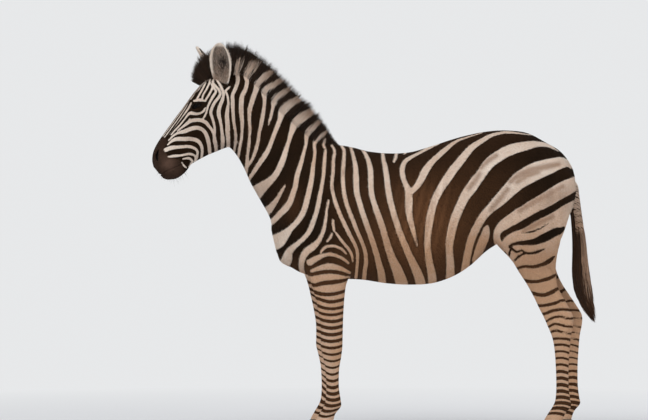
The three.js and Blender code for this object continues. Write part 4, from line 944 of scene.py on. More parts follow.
# Further tints: inside of the ear, warmth of the coat, and bare dark skin at lids and nostrils.
def tints(points):
    x, y, z = points.T
    warm = 0.12 + 0.2 * smooth_step(x, -52, -44) + 0.2 * smooth_step(x, -38, -14)
    warm -= 0.14 * smooth_step(x, -18, -6) * smooth_step(z, 74, 88)
    warm -= 0.13 * smooth_step(x, 26, 46) * smooth_step(z, 74, 90)
    warm += 0.5 * smooth_step(-z, -84, -60) * smooth_step(x, -30, -5)
    warm = np.maximum(warm, 0.85 * smooth_step(-z, -64, -54))
    along, up = head_axes(x, z)
    slit, rise, out = eye_axes(along, up, np.abs(y - sway(x)))
    opening = lid_opening(slit, rise)
    bare = np.where((out > 0) & (x < -50), 1 - smooth_step(opening, 0.16, 0.34), 0)
    pit = nearest_stroke(along, up, [NOSTRIL])
    bare = np.maximum(bare, np.where(x < -60, 1 - smooth_step(pit, -0.2, 0.1), 0))
    return np.stack([x * 0, warm, bare], axis=1)


def keep_values(mesh, name, values):
    kept = mesh.attributes.new(name, "FLOAT_VECTOR", "POINT")
    kept.data.foreach_set("vector", np.ascontiguousarray(values, dtype=np.float32).ravel())


skin_points = to_hundredths(read_points(hide_mesh))
skin_marks, skin_tints = markings(skin_points), tints(skin_points)
ear_start = len(skin_points) - len(ear_values)
ear_share, ear_mark, ear_inside, ear_dark_and_shade = ear_values.T
skin_marks[ear_start:] = np.stack([ear_mark, ear_mark * 0, ear_mark * 0 - 3], axis=1)
# In the ears the third tint is painted shade, black deep in the cup, and the dark line by the rim.
skin_tints[ear_start:] = np.stack([ear_inside, ear_inside * 0, ear_dark_and_shade], axis=1)
keep_values(hide_mesh, "marks", skin_marks)
keep_values(hide_mesh, "tints", skin_tints)


# ---------------------------------------------------------------- hide, dressed
# The hide wears the stripes itself: ragged where dark meets cream, browner in the dark over
# flank and back, black and bare at lids and nostrils, black as painted shade deep in the ears, and
# soft brown over the muzzle with a painted grey sheen. Painted shade dulls the cream of face, neck,
# chest, lower barrel and gaskin. Its fine bump runs with the lie of the hair, on a map wrapped round
# head, neck, trunk and legs.
CREAM_WHITE, CREAM_TAN = (0.86, 0.76, 0.66, 1), (0.6, 0.365, 0.22, 1)
EBONY_BLACK, EBONY_BROWN = (0.0125, 0.006, 0.002, 1), (0.14, 0.06, 0.025, 1)
SHADOW_BROWN, MUZZLE_BROWN = (0.33, 0.19, 0.115, 1), (0.034, 0.018, 0.011, 1)
MUZZLE_GREY_SHEEN, EAR_GREY, BARE_SKIN_AND_SHADE = (0.105, 0.06, 0.042, 1), (0.13, 0.09, 0.065, 1), (0.009, 0.006, 0.005, 1)


# Numbers of the parts; the legs follow ON_LEGS in their own order
ON_HEAD, ON_NECK, ON_TRUNK, ON_LEGS, ON_DOCK, ON_EAR = 0, 1, 2, 3, 7, 8
PART_RADIUS = np.array([6, 8, 18, 3, 3, 3.4, 3.4, 2.2])


# Which part of the body each point is wrapped with, how far along it, and which way round.
def wrap(points):
    x, y, z = points.T
    bent = y - sway(x)
    along, up = head_axes(x, z)
    part = np.full(len(x), ON_TRUNK)
    part[(x < -14) & (z > 58) & (x + z * 0.42 < 24)] = ON_NECK
    part[(along > -8) & (x < -45) & (z - 100 > (x + 56) * 1.6)] = ON_HEAD
    for number, leg in enumerate(LEGS, ON_LEGS):
        on_leg = (z < 60) & (x < -6) if "fore" in leg else (z < 66) & (x > 40)
        part[on_leg & (y * LEGS[leg][1] > 0)] = number
    part[(x > 66.6) & (np.abs(y) < 2.9) & (z < 92) & (z > 58)] = ON_DOCK
    u, v = x.copy(), np.arctan2(bent, z - np.interp(x, TRUNK[:, 0], TRUNK[:, 3]))
    i = part == ON_HEAD
    u[i], v[i] = along[i], np.arctan2(bent[i], up[i] - np.interp(along[i], HEAD[:, 0], HEAD[:, 3]))
    i = part == ON_NECK
    u[i] = (x[i] + 30) * 0.7 - (z[i] - 95) * 0.7
    centre = 89.5 - (x[i] + 30) * 0.9
    v[i] = np.arctan2(bent[i], (z[i] - centre) * 0.7)
    for number, (leg, (stations, sign, _, _, _)) in enumerate(LEGS.items(), ON_LEGS):
        i = part == number
        front, back, off, _ = within(z[i], stations)
        u[i], v[i] = z[i], np.arctan2(y[i] - sign * off, x[i] - (front + back) / 2 - leg_step(leg, z[i]))
    i = part == ON_DOCK
    middle = np.interp(z[i], DOCK[:, 0], DOCK[:, 1])
    u[i], v[i] = z[i], np.arctan2(y[i], x[i] - middle)
    return part, u, v


def put(tree, kind, inputs, **settings):
    made = tree.nodes.new("ShaderNode" + kind)
    for name, value in settings.items():
        setattr(made, name, value)
    for key, value in inputs.items():
        if isinstance(value, bpy.types.NodeSocket):
            tree.links.new(value, made.inputs[key])
        else:
            made.inputs[key].default_value = value
    return made


def mixed(tree, share, first, second):
    return put(tree, "Mix", {0: share, 6: first, 7: second}, data_type="RGBA").outputs[2]


def ramp(tree, value, low, high, bottom=0.0, top=1.0):
    return put(tree, "MapRange", {0: value, 1: low, 2: high, 3: bottom, 4: top}).outputs[0]


def maths(tree, operation, first, second):
    return put(tree, "Math", {0: first, 1: second}, operation=operation).outputs[0]


def noise(tree, place, scale, detail):
    return put(tree, "TexNoise", {"Vector": place, "Scale": scale, "Detail": detail}).outputs[0]


def kept_values(tree, name):
    kept = put(tree, "Attribute", {}, attribute_name=name)
    return put(tree, "SeparateXYZ", {0: kept.outputs["Vector"]}).outputs


def new_finish(name, roughness, specular=0.5, sheen=0.0):
    finish = bpy.data.materials.new(name)
    finish.use_nodes = True
    shader = finish.node_tree.nodes["Principled BSDF"]
    shader.inputs["Roughness"].default_value = roughness
    shader.inputs["Specular IOR Level"].default_value = specular
    shader.inputs["Sheen Weight"].default_value = sheen
    shader.inputs["Sheen Roughness"].default_value = 0.45
    return finish, finish.node_tree, shader


# The colours of the coat from the kept marks and tints, ragged at the edges by so much.
def coat_colours(tree, ragged, place):
    mark, shade, muzzle = kept_values(tree, "marks")
    inside, warm, bare = kept_values(tree, "tints")
    patch, fine = noise(tree, place, 5.0, 3.0), noise(tree, place, 260.0, 2.0)
    jitter = ramp(tree, fine, 0.25, 0.75, -ragged, ragged)
    warmth = maths(tree, "ADD", warm, ramp(tree, patch, 0.3, 0.7, -0.2, 0.2))
    brown = maths(tree, "ADD", shade, ramp(tree, patch, 0.3, 0.7, -0.05, 0.05))
    cream = mixed(tree, warmth, CREAM_WHITE, CREAM_TAN)
    # Brown of the shadow stripes, and painted shade on the dull cream.
    cream = mixed(tree, shade, cream, SHADOW_BROWN)
    dark = mixed(tree, brown, EBONY_BLACK, EBONY_BROWN)
    colour = mixed(tree, ramp(tree, maths(tree, "ADD", mark, jitter), -0.05, 0.05), dark, cream)
    # The muzzle's brown skin, lighter grey where the shade value paints a sheen on the upper lip.
    snout = mixed(tree, shade, MUZZLE_BROWN, MUZZLE_GREY_SHEEN)
    colour = mixed(tree, ramp(tree, maths(tree, "ADD", muzzle, jitter), -0.35, 0.15), colour, snout)
    colour = mixed(tree, inside, colour, EAR_GREY)
    # Bare black skin at lids and nostrils, and painted shade deep in the ears' cups.
    colour = mixed(tree, bare, colour, BARE_SKIN_AND_SHADE)
    value = ramp(tree, fine, 0.3, 0.7, 0.88, 1.14)
    return put(tree, "HueSaturation", {"Color": colour, "Value": value}).outputs[0]


# A finish in the colours of the coat, and the place within the piece that its textures use.
def coat_finish(name, ragged, *settings):
    finish, tree, shader = new_finish(name, *settings)
    place = put(tree, "TexCoord", {}).outputs["Object"]
    tree.links.new(coat_colours(tree, ragged, place), shader.inputs["Base Color"])
    return finish, tree, shader, place


def add_relief(tree, shader, strength, depth, height):
    bump = put(tree, "Bump", {"Strength": strength, "Distance": depth, "Height": height})
    tree.links.new(bump.outputs[0], shader.inputs["Normal"])


def hide_finish():
    finish, tree, shader, place = coat_finish("striped_hide", 0.07, 0.8, 0.08, 0.02)
    lie = put(tree, "UVMap", {}, uv_map="lie").outputs[0]
    combed = put(tree, "Mapping", {0: lie, 3: (90.0, 900.0, 1.0)}).outputs[0]
    hair = noise(tree, combed, 1.0, 3.0)
    pores = put(tree, "TexVoronoi", {"Vector": place, "Scale": 420.0}).outputs[0]
    height = maths(tree, "ADD", hair, maths(tree, "MULTIPLY", pores, 0.35))
    add_relief(tree, shader, 0.35, 0.0012, height)
    return finish


def add_lie(mesh):
    part, u, v = wrap(to_hundredths(read_points(mesh)))
    corners = read_all(mesh.loops, "vertex_index", 1, int)[:, 0]
    lie = np.stack([u * H, v * PART_RADIUS[part] * H], axis=1)[corners]
    mesh.uv_layers.new(name="lie").data.foreach_set("uv", np.ascontiguousarray(lie, np.float32).ravel())


def finished(mesh, name, finish, slot, *nodes):
    mesh.materials.clear()
    mesh.materials.append(finish)
    piece = bpy.data.objects.new(name, mesh)
    bpy.context.collection.objects.link(piece)
    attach(piece, "root")
    if nodes:
        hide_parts(*nodes)
    return piece


add_lie(hide_mesh)
hide_mesh.shade_smooth()
finished(hide_mesh, "hide", hide_finish(), "coat", *FLESH_NODES, "ear_left", "ear_right")


# ---------------------------------------------------------------- eyes
# Two large dark eyes, each one wet ball that bulges at the cornea. The iris is deep brown with a
# wide level pupil, and darkens to the rim where it meets the white.
CORNEA_BULGE = 0.1
PUPIL_WIDE, PUPIL_TALL, IRIS_REACH = 0.66, 0.36, 1.12
IRIS_DARK, IRIS_BROWN = (0.004, 0.0025, 0.0015, 1), (0.014, 0.007, 0.0035, 1)
IRIS_RIM, PUPIL_BLACK = (0.003, 0.002, 0.0015, 1), (0.002, 0.002, 0.003, 1)
EYE_WHITE = (0.009, 0.006, 0.005, 1)


def head_vector(vector, sign):
    cos, sin = math.cos(HEAD_PITCH), math.sin(HEAD_PITCH)
    along, up, across = vector
    return np.array([-along * cos - up * sin, sign * across, -along * sin + up * cos])


def eye_place(sign):
    x, z = on_head(EYE_ALONG, EYE_UP)
    return np.array([x, sign * EYE_SIDE + sway(x), z])


def mesh_of(name, points, faces):
    mesh = bpy.data.meshes.new(name)
    faces = np.ascontiguousarray(faces, dtype=np.int32)
    mesh.vertices.add(len(points))
    mesh.vertices.foreach_set("co", np.ascontiguousarray(points, dtype=np.float32).ravel())
    mesh.loops.add(faces.size)
    mesh.loops.foreach_set("vertex_index", faces.ravel())
    mesh.polygons.add(len(faces))
    mesh.polygons.foreach_set("loop_start", np.arange(0, faces.size, faces.shape[1], dtype=np.int32))
    mesh.update(calc_edges=True)
    return mesh


# Rings of points as a closed tube of triangles, from one end point to the other.
def closed_rings(rings, first=None, last=None):
    first = rings[0].mean(axis=0) if first is None else first
    last = rings[-1].mean(axis=0) if last is None else last
    count, around = rings.shape[:2]
    points = np.vstack([[first], rings.reshape(-1, 3), [last]])
    index = 1 + np.arange(count * around).reshape(count, around)
    a, b = index[:-1], index[1:]
    an, bn = np.roll(a, -1, 1), np.roll(b, -1, 1)
    sides = np.concatenate([np.stack(corners, -1).reshape(-1, 3) for corners in ((a, an, bn), (a, bn, b))])
    ends = [[0, index[0][(i + 1) % around], index[0][i]] for i in range(around)]
    ends += [[len(points) - 1, index[-1][i], index[-1][(i + 1) % around]] for i in range(around)]
    return points, np.concatenate([sides, ends])


def facing_out(mesh):
    with editing(mesh) as bm:
        bmesh.ops.recalc_face_normals(bm, faces=bm.faces)
    return mesh


def eye_mesh(sign):
    slit, rise, gaze = (head_vector(v, sign) for v in (SLIT, LID_UP, GAZE))
    turn = np.linspace(0, 2 * math.pi, 56, endpoint=False)
    tilt = np.r_[np.linspace(0.04, 1.1, 22), np.linspace(1.2, 3.1, 14)]
    radius = EYE_RADIUS * 0.985 + CORNEA_BULGE * smooth_step(-tilt, -0.85, -0.2)
    ring = (np.multiply.outer(radius * np.sin(tilt), np.cos(turn))[..., None] * slit
            + np.multiply.outer(radius * np.sin(tilt), np.sin(turn))[..., None] * rise
            + (radius * np.cos(tilt))[:, None, None] * gaze)
    points, faces = closed_rings(ring, gaze * radius[0], -gaze * radius[-1])
    mesh = mesh_of("eye", to_metres(points + eye_place(sign)), faces)
    keep_values(mesh, "iris", np.stack([points @ slit, points @ rise, points @ gaze], axis=1))
    return facing_out(mesh)


# The sum of two values, each raised to the same power.
def powers_of(tree, first, second, power):
    raised = [maths(tree, "POWER", maths(tree, "ABSOLUTE", v, 0), power) for v in (first, second)]
    return maths(tree, "ADD", *raised)


def eye_finish():
    finish, tree, shader = new_finish("wet_eye", 0.3, 0.0)
    shader.inputs["Coat Weight"].default_value = 0.14
    shader.inputs["Coat Roughness"].default_value = 0.02
    shader.inputs["Coat IOR"].default_value = 1.38
    side, rise, _ = kept_values(tree, "iris")
    reach = maths(tree, "SQRT", powers_of(tree, side, rise, 2), 0)
    wide, tall = maths(tree, "DIVIDE", side, PUPIL_WIDE), maths(tree, "DIVIDE", rise, PUPIL_TALL)
    turn = maths(tree, "ARCTAN2", rise, side)
    rays = noise(tree, put(tree, "CombineXYZ", {0: turn, 1: reach}).outputs[0], 9.0, 4.0)
    brown = mixed(tree, ramp(tree, rays, 0.35, 0.65), IRIS_DARK, IRIS_BROWN)
    brown = mixed(tree, ramp(tree, reach, IRIS_REACH * 0.75, IRIS_REACH), brown, IRIS_RIM)
    white = mixed(tree, ramp(tree, reach, IRIS_REACH, IRIS_REACH + 0.05), brown, EYE_WHITE)
    pupil = ramp(tree, powers_of(tree, wide, tall, 2.4), 0.85, 1.1)
    tree.links.new(mixed(tree, pupil, PUPIL_BLACK, white), shader.inputs["Base Color"])
    return finish


wet_eye = eye_finish()
for side, sign in (("left", -1), ("right", 1)):
    eye = eye_mesh(sign)
    eye.shade_smooth()
    finished(eye, f"eye_ball_{side}", wet_eye, "eye", f"eye_{side}")


# ---------------------------------------------------------------- hooves
# Each hoof is a wall of dark horn that flares from the hairline to the ground, in fine growth
# rings, with a hollow sole, a frog and two bulbs at the heel. The toes are long and upright.
# [z, toe, heel, half width], measured from the back of the coronet
HOOF = drawn_through([[5.45, -6.6, 0.1, 2.68], [3.6, -7.5, 0.2, 2.98], [1.4, -8.55, 0.0, 3.28],
                      [0.0, -9.15, -0.25, 3.42]], 14)
GROWTH_RINGS, GROWTH_DEPTH = 9, 0.004
HOOF_AROUND, CORONET = 64, 5.6
HORN_DARK, HORN_PALE = (0.028, 0.022, 0.019, 1), (0.095, 0.075, 0.06, 1)
CORONET_PALE, GROUND_DUST = (0.16, 0.125, 0.1, 1), (0.24, 0.18, 0.13, 1)


def hoof_mesh(leg):
    stations, sign = LEGS[leg][:2]
    _, back, off, _ = within(np.array([CORONET]), stations)
    heel = back[0] + float(leg_step(leg, 0))
    turn = np.linspace(0, 2 * math.pi, HOOF_AROUND, endpoint=False)

    def ring(z, toe, back, half, inset=0.0):
        long, middle = (back - toe) / 2 - inset, heel + (toe + back) / 2
        grow = 1 + GROWTH_DEPTH * math.sin(z * 2 * math.pi * GROWTH_RINGS / 5.5) * (inset == 0)
        x = middle - long * grow * np.sign(np.cos(turn)) * np.abs(np.cos(turn)) ** (2 / 2.3)
        y = (half - inset) * grow * np.sign(np.sin(turn)) * np.abs(np.sin(turn)) ** (2 / 2.3)
        behind = smooth_step(x - middle, 0.4 * long, long)
        cleft, bulbs = np.exp(-(y / 0.55) ** 2), np.exp(-((np.abs(y) - 1.3) / 0.7) ** 2) * (z > 2)
        x = x - behind * (0.75 * cleft - 0.12 * bulbs)
        return np.stack([x, sign * off[0] + y, np.full(len(x), z)], axis=1)

    rows = [ring(5.05, *HOOF[0, 1:], inset=0.9), ring(5.3, *HOOF[0, 1:], inset=0.3)]
    rows += [ring(*row, inset=0.3 * max(0, (row[0] - 4.8) / 0.65) ** 2) for row in HOOF[:-1]]
    toe, back_end, half = HOOF[-1, 1:]
    rows += [ring(0.12, toe, back_end, half), ring(0.0, toe, back_end, half, 0.1)]
    sole = ((0.0, 0.42), (0.3, 0.62), (0.5, 1.3), (0.55, 2.4))
    rows += [ring(z, toe, back_end, half, inset) for z, inset in sole]
    for row in rows[-3:]:
        wedge = smooth_step(row[:, 0] - heel - (toe + back_end) / 2, -1.2, 2.6)
        row[:, 2] -= 0.28 * wedge * np.exp(-((row[:, 1] - sign * off[0]) / (0.3 + 0.9 * wedge)) ** 2)
    points, faces = closed_rings(np.array(rows))
    return facing_out(mesh_of("hoof", to_metres(points), faces))


def hoof_finish():
    finish, tree, shader = new_finish("dark_horn", 0.5, 0.4)
    place = put(tree, "TexCoord", {}).outputs["Object"]
    height = put(tree, "SeparateXYZ", {0: place}).outputs[2]
    streaked = put(tree, "Mapping", {0: place, 3: (260.0, 260.0, 14.0)}).outputs[0]
    streaks = noise(tree, streaked, 1.0, 4.0)
    horn = mixed(tree, ramp(tree, streaks, 0.3, 0.7), HORN_DARK, HORN_PALE)
    horn = mixed(tree, ramp(tree, height, 0.058, 0.07), horn, CORONET_PALE)
    dust = noise(tree, place, 60.0, 5.0)
    dusty = maths(tree, "MULTIPLY", ramp(tree, height, 0.035, 0.0, 0.0, 0.7), ramp(tree, dust, 0.35, 0.65))
    tree.links.new(mixed(tree, dusty, horn, GROUND_DUST), shader.inputs["Base Color"])
    rings = maths(tree, "SINE", maths(tree, "ADD", maths(tree, "MULTIPLY", height, 1250.0),
                                      maths(tree, "MULTIPLY", dust, 3.0)), 0)
    relief = maths(tree, "ADD", streaks, maths(tree, "MULTIPLY", rings, 0.25))
    add_relief(tree, shader, 0.4, 0.0012, relief)
    tree.links.new(ramp(tree, dust, 0.3, 0.7, 0.38, 0.62), shader.inputs["Roughness"])
    return finish


dark_horn = hoof_finish()
for leg in LEGS:
    hoof = hoof_mesh(leg)
    hoof.shade_smooth()
    finished(hoof, f"{leg}_horn", dark_horn, "hoof", f"{leg}_hoof")


# ---------------------------------------------------------------- mane and forelock
# Stiff hair stands along the crest from the forelock to the withers, a hand high. It grows in
# locks that close to ragged points over a dense core, carries the stripes of the neck up with
# it, and turns brown and then black at the tips. The forelock is black.
# [root x, root z, tip x, tip z, half thickness at the root]
MANE = drawn_through([
    [-59.4, 121.6, -63.9, 123.0, 1.5], [-58.2, 123.0, -63.6, 128.0, 1.9], [-56.2, 124.4, -60.3, 133.6, 2.1],
    [-53.0, 125.2, -54.2, 136.9, 2.0], [-49.6, 126.2, -47.8, 137.6, 1.9], [-45.8, 126.0, -41.8, 135.2, 1.9],
    [-41.4, 122.6, -36.2, 130.8, 1.9], [-36.9, 118.2, -30.7, 125.7, 1.9], [-32.2, 113.0, -25.4, 120.0, 1.9],
    [-27.2, 108.4, -20.4, 114.9, 1.9], [-21.9, 103.6, -16.8, 109.8, 1.8], [-17.6, 100.8, -14.2, 104.6, 1.4],
    [-13.6, 99.4, -12.2, 101.4, 0.8]], 6)
MANE_LOCKS, MANE_CLUMPS = 3100, 130      # on each side
MANE_SINK = 1.3                  # how far the roots reach below the crest
BAND_REACH = ([0.36, 0.56], [0.36, 0.7])     # share of the crest, and how far up the pale bands reach
HAIR_WIDTH = 0.085
FORELOCK_END = 0.2               # share of the crest, from the front, that is black


# Tapering three-sided hairs along the given paths, each closed and with its own values.
def hairs(name, paths, thick, marks, warm, bend=(0.3, 1.0, 0.2)):
    count, steps = paths.shape[:2]
    ahead = np.gradient(paths, axis=1)
    ahead /= np.maximum(np.linalg.norm(ahead, axis=2, keepdims=True), 1e-9)
    side = np.cross(ahead, unit(bend))
    side /= np.maximum(np.linalg.norm(side, axis=2, keepdims=True), 1e-9)
    over = np.cross(side, ahead)
    turn = np.array([0, 2, 4]) * math.pi / 3
    spread = (np.cos(turn)[:, None] * side[:, :, None] + np.sin(turn)[:, None] * over[:, :, None])
    rings = (paths[:, :, None] + spread * thick[:, :, None, None])[:, :-1].reshape(count, -1, 3)
    points = np.concatenate([rings, paths[:, -1:]], axis=1)
    per = points.shape[1]
    faces = [[0, 2, 1]]
    for s in range(steps - 2):
        for i in range(3):
            a, b = 3 * s + i, 3 * s + (i + 1) % 3
            faces += [[a, b, b + 3], [a, b + 3, a + 3]]
    faces += [[per - 4 + i, per - 4 + (i + 1) % 3, per - 1] for i in range(3)]
    faces = (np.array(faces)[None] + (np.arange(count) * per)[:, None, None]).reshape(-1, 3)
    mesh = mesh_of(name, to_metres(points.reshape(-1, 3)), faces)
    marks = [np.concatenate([np.repeat(v[:, :-1], 3, axis=1), v[:, -1:]], axis=1).ravel() for v in marks]
    keep_values(mesh, "marks", np.stack(marks, axis=1))
    warm = np.repeat(warm, per)
    keep_values(mesh, "tints", np.stack([warm * 0, warm, warm * 0], axis=1))
    return mesh


def mane_line(share):
    at = share * (len(MANE) - 1)
    return np.stack([np.interp(at, np.arange(len(MANE)), column) for column in MANE.T], axis=-1)


# The stripe a lock carries at a place: that of the neck, lost in brown and then black above.
def mane_marks(x, z, rise, share, brown):
    mark = -nearest_stroke(x.ravel(), z.ravel(), CREAM).reshape(x.shape)
    fade = np.interp(share, *BAND_REACH)
    mark = mark - 2.4 * smooth_step(rise, fade, fade + 0.24)
    black = smooth_step(-share, -FORELOCK_END - 0.03, -FORELOCK_END + 0.03) * smooth_step(rise, 0.0, 0.12)
    mark = mark - 3 * black
    shade = np.where(mark > 0, 0.85 * smooth_step(rise, 0.08, 0.85), brown)
    return [np.clip(mark, -3, 3), np.clip(shade, 0, 1), np.full(x.shape, -3.0)]


def mane_locks(sign, seed):
    rng = np.random.default_rng(seed)
    count, steps = MANE_LOCKS, 6
    share = (np.arange(count) + rng.random(count)) / count
    row = mane_line(share)
    place = sign * np.sqrt(rng.random(count)) * rng.choice([1, 1, 1, 0.6], count)
    clumps = np.sort(rng.random(MANE_CLUMPS))
    clump = np.clip(np.searchsorted(clumps, share) - rng.integers(0, 2, count), 0, MANE_CLUMPS - 1)
    clump_row = mane_line(clumps[clump])
    gather = 0.45 * rng.random(count)[:, None]
    root, tip = row[:, :2], row[:, 2:4] * (1 - gather) + clump_row[:, 2:4] * gather
    ragged = 0.955 + 0.04 * rng.normal(size=MANE_CLUMPS)[clump] - 0.24 * rng.random(count) ** 1.7
    tall = np.minimum(ragged, 1.02) * (1 - 0.1 * place ** 2)
    tall = np.where(rng.random(count) < 0.2 * np.abs(place), tall * rng.uniform(0.3, 0.8, count), tall)
    t = np.linspace(0, 1, steps)[None, :]
    up = tip - root
    length = np.linalg.norm(up, axis=1)
    sink = (MANE_SINK / length)[:, None]
    start = -sink + 0.16 * (rng.random(count) * np.abs(place))[:, None]
    rise = start + t * (tall[:, None] - start)
    bow = 0.22 * rng.normal(size=count)[:, None] * np.sin(math.pi * t)
    x = root[:, :1] + up[:, :1] * rise + bow * up[:, 1:] / length[:, None]
    z = root[:, 1:] + up[:, 1:] * rise - bow * up[:, :1] / length[:, None]
    wide = np.interp(rise, [0, 0.3, 0.6, 0.94, 1], [0.96, 0.95, 0.8, 0.42, 0.3])
    y = place[:, None] * row[:, 4:] * wide + 0.12 * rng.normal(size=count)[:, None] * t ** 2
    paths = np.stack([x, y + sway(x), z], axis=-1)
    thick = HAIR_WIDTH * np.interp(t, [0, 0.5, 0.85, 1], [1, 0.9, 0.5, 0.1])
    thick = thick * (0.75 + 0.5 * rng.random(count))[:, None]
    stray = np.where(share < 0.48, 0.55, 0.25)[:, None] * rng.normal(size=(2, count, 1))
    faded = np.clip(rise + 0.06 * rng.normal(size=count)[:, None], 0, 1)
    brown = 0.26 * rng.random((count, 1)) ** 2
    marks = mane_marks(x + stray[0], z + stray[1], faded, share[:, None], brown)
    return hairs(f"mane_{seed}", paths, thick, marks, 0.1 + 0.4 * rng.random(count))


def mane_core():
    share = np.linspace(0.004, 0.996, 150)
    rise = np.r_[-0.12, np.linspace(0.0, 0.74, 12)]
    row = mane_line(share)
    rise_up = np.r_[rise, rise[::-1]]
    side = np.r_[np.full(len(rise), -1.0), np.full(len(rise), 1.0)]
    wide = np.interp(rise_up, [-0.2, 0.0, 0.45, 0.74], [0.8, 0.8, 0.5, 0.05]) * side
    x = row[:, :1] + (row[:, 2:3] - row[:, :1]) * rise_up
    z = row[:, 1:2] + (row[:, 3:4] - row[:, 1:2]) * rise_up
    y = row[:, 4:] * wide + sway(x)
    rings = np.stack([x, y, z], axis=-1)
    points, faces = closed_rings(rings)
    mesh = facing_out(mesh_of("mane_core", to_metres(points), faces))
    rise_all = np.r_[0, np.tile(rise_up, len(share)), 0]
    share_all = np.r_[0, np.repeat(share, len(rise_up)), 1]
    marks = mane_marks(points[:, 0], points[:, 2], np.clip(rise_all, 0, 1), share_all, 0.03)
    keep_values(mesh, "marks", np.stack(marks, axis=1))
    keep_values(mesh, "tints", points * 0 + [0, 0.3, 0])
    return mesh


def hair_finish(name, ragged, roughness):
    finish, tree, shader, place = coat_finish(name, ragged, roughness, 0.15, 0.03)
    add_relief(tree, shader, 0.25, 0.0006, noise(tree, place, 700.0, 2.0))
    return finish


mane_finish = hair_finish("banded_mane", 0.1, 0.6)
finished(mane_core(), "mane_core", mane_finish, "mane", "mane")
finished(mane_locks(-1, 11), "mane_left", mane_finish, "mane", "mane")
finished(mane_locks(1, 12), "mane_right", mane_finish, "mane", "mane")


# ---------------------------------------------------------------- tail
# The dock carries short coat like the rump, and long hair grows from its front and its end, black
# with brown locks behind. It hangs in waves that gather to the tuft, down past the hocks.
# [z, x, half depth, half width]
TAIL = drawn_through([
    [89.4, 65.6, 2.3, 2.5], [87.2, 68.4, 2.1, 2.3], [82.8, 69.4, 1.9, 2.1], [77.8, 70.1, 1.95, 2.0],
    [72.0, 70.8, 2.05, 2.0], [66.0, 71.3, 2.25, 2.1], [61.0, 71.5, 2.5, 2.15], [56.0, 71.8, 2.9, 2.4],
    [51.0, 72.6, 3.1, 2.5], [46.6, 73.8, 2.7, 2.2], [42.6, 75.2, 1.8, 1.5], [39.0, 76.6, 0.6, 0.5]], 6)[::-1]
TAIL_LOCKS, TAIL_CLUMPS = 3200, 40


def tail_locks(seed):
    rng = np.random.default_rng(seed)
    count, steps, clumps = TAIL_LOCKS, 10, TAIL_CLUMPS
    fringe = rng.random(count) < 0.34
    start = np.where(fringe, 61 + 22 * rng.random(count), 54 + 19 * rng.random(count) ** 1.4)
    turn = np.where(fringe, math.pi + 0.33 * rng.normal(size=count), rng.uniform(-math.pi, math.pi, count))
    spread = np.where(fringe, 1.06, np.where(start > 60, 1.0, np.sqrt(rng.random(count))))
    clump = rng.integers(0, clumps, count)
    ends = 39.2 + 12 * rng.random(clumps) ** 1.6
    low = np.minimum(ends[clump] + 6 * rng.random(count) ** 2, start - 12)
    t = np.linspace(0, 1, steps)[None, :]
    z = start[:, None] + (low - start)[:, None] * t
    x0, deep, wide = within(z, TAIL)
    clump_turn, clump_out = rng.uniform(-math.pi, math.pi, clumps), np.sqrt(rng.random(clumps))
    gather = 0.65 * smooth_step(-z, -60, -42)
    side, across = (spread[:, None] * wave(turn)[:, None] * (1 - gather)
                    + gather * (clump_out * wave(clump_turn))[clump][:, None] for wave in (np.cos, np.sin))
    sunk = np.interp(t, [0, 0.12, 1], [0.9, 1.0, 0.97])
    swing = 0.16 * np.sin(z * 0.5 + clump[:, None] * 1.7) * smooth_step(-z, -60, -48)
    x = x0 + side * deep * sunk + swing + 0.16 * rng.normal(size=count)[:, None] * t
    y = across * wide * sunk + 0.1 * np.cos(z * 0.5 + clump[:, None]) * t
    y = y + 0.14 * rng.normal(size=count)[:, None] * t
    paths = np.stack([x, y, z], axis=-1)
    thick = HAIR_WIDTH * np.interp(t, [0, 0.6, 0.9, 1], [0.9, 1, 0.5, 0.1])
    thick = thick * (0.7 + 0.6 * rng.random(count))[:, None]
    brown = (np.cos(turn) > 0.1) & ~fringe & (rng.random(count) < 0.8)
    fade, tone = z + 4 * rng.normal(size=count)[:, None], rng.random(count)
    mark = np.where(brown, 1.5, -2.0)[:, None] - 2.6 * smooth_step(-fade, -56, -44)
    marks = [np.clip(mark, -3, 3), np.where(brown, 0.5 + 0.5 * tone, 0.1 + 0.42 * tone)[:, None] + 0 * z,
             np.full(z.shape, -3.0)]
    return hairs("tail_hair", paths, thick, marks, 0.3 + 0.7 * rng.random(count), bend=(1.0, 0.3, 0.0))


def tail_core():
    z = np.linspace(63, 44, 50)
    middle, deep, wide = within(z, TAIL)
    turn = np.linspace(0, 2 * math.pi, 20, endpoint=False)
    narrow = np.interp(z, [44, 50, 63], [0.45, 0.72, 0.78])[:, None]
    rings = np.stack([middle[:, None] + narrow * deep[:, None] * np.cos(turn),
                      narrow * wide[:, None] * np.sin(turn), np.repeat(z[:, None], 20, axis=1)], axis=-1)
    points, faces = closed_rings(rings)
    mesh = facing_out(mesh_of("tail_core", to_metres(points), faces))
    keep_values(mesh, "marks", points * 0 + [-2, 0, -3])
    keep_values(mesh, "tints", points * 0 + [0, 0.5, 0])
    return mesh


tail_finish = hair_finish("black_tail_hair", 0.1, 0.5)
finished(tail_core(), "tail_core", tail_finish, "switch", "tail_switch")
finished(tail_locks(21), "tail_hair", tail_finish, "switch", "tail_switch")


# ---------------------------------------------------------------- hair of ears, lids and lips
# Long hair fills the ears, pale but dark where it roots in the painted shade of the cup, and fringes
# their rims in white. Short black lashes stand on the upper lids, and thin feelers on lips and chin.
EAR_HAIRS, RIM_HAIRS, LASHES, FEELERS = 1500, 900, 60, 90


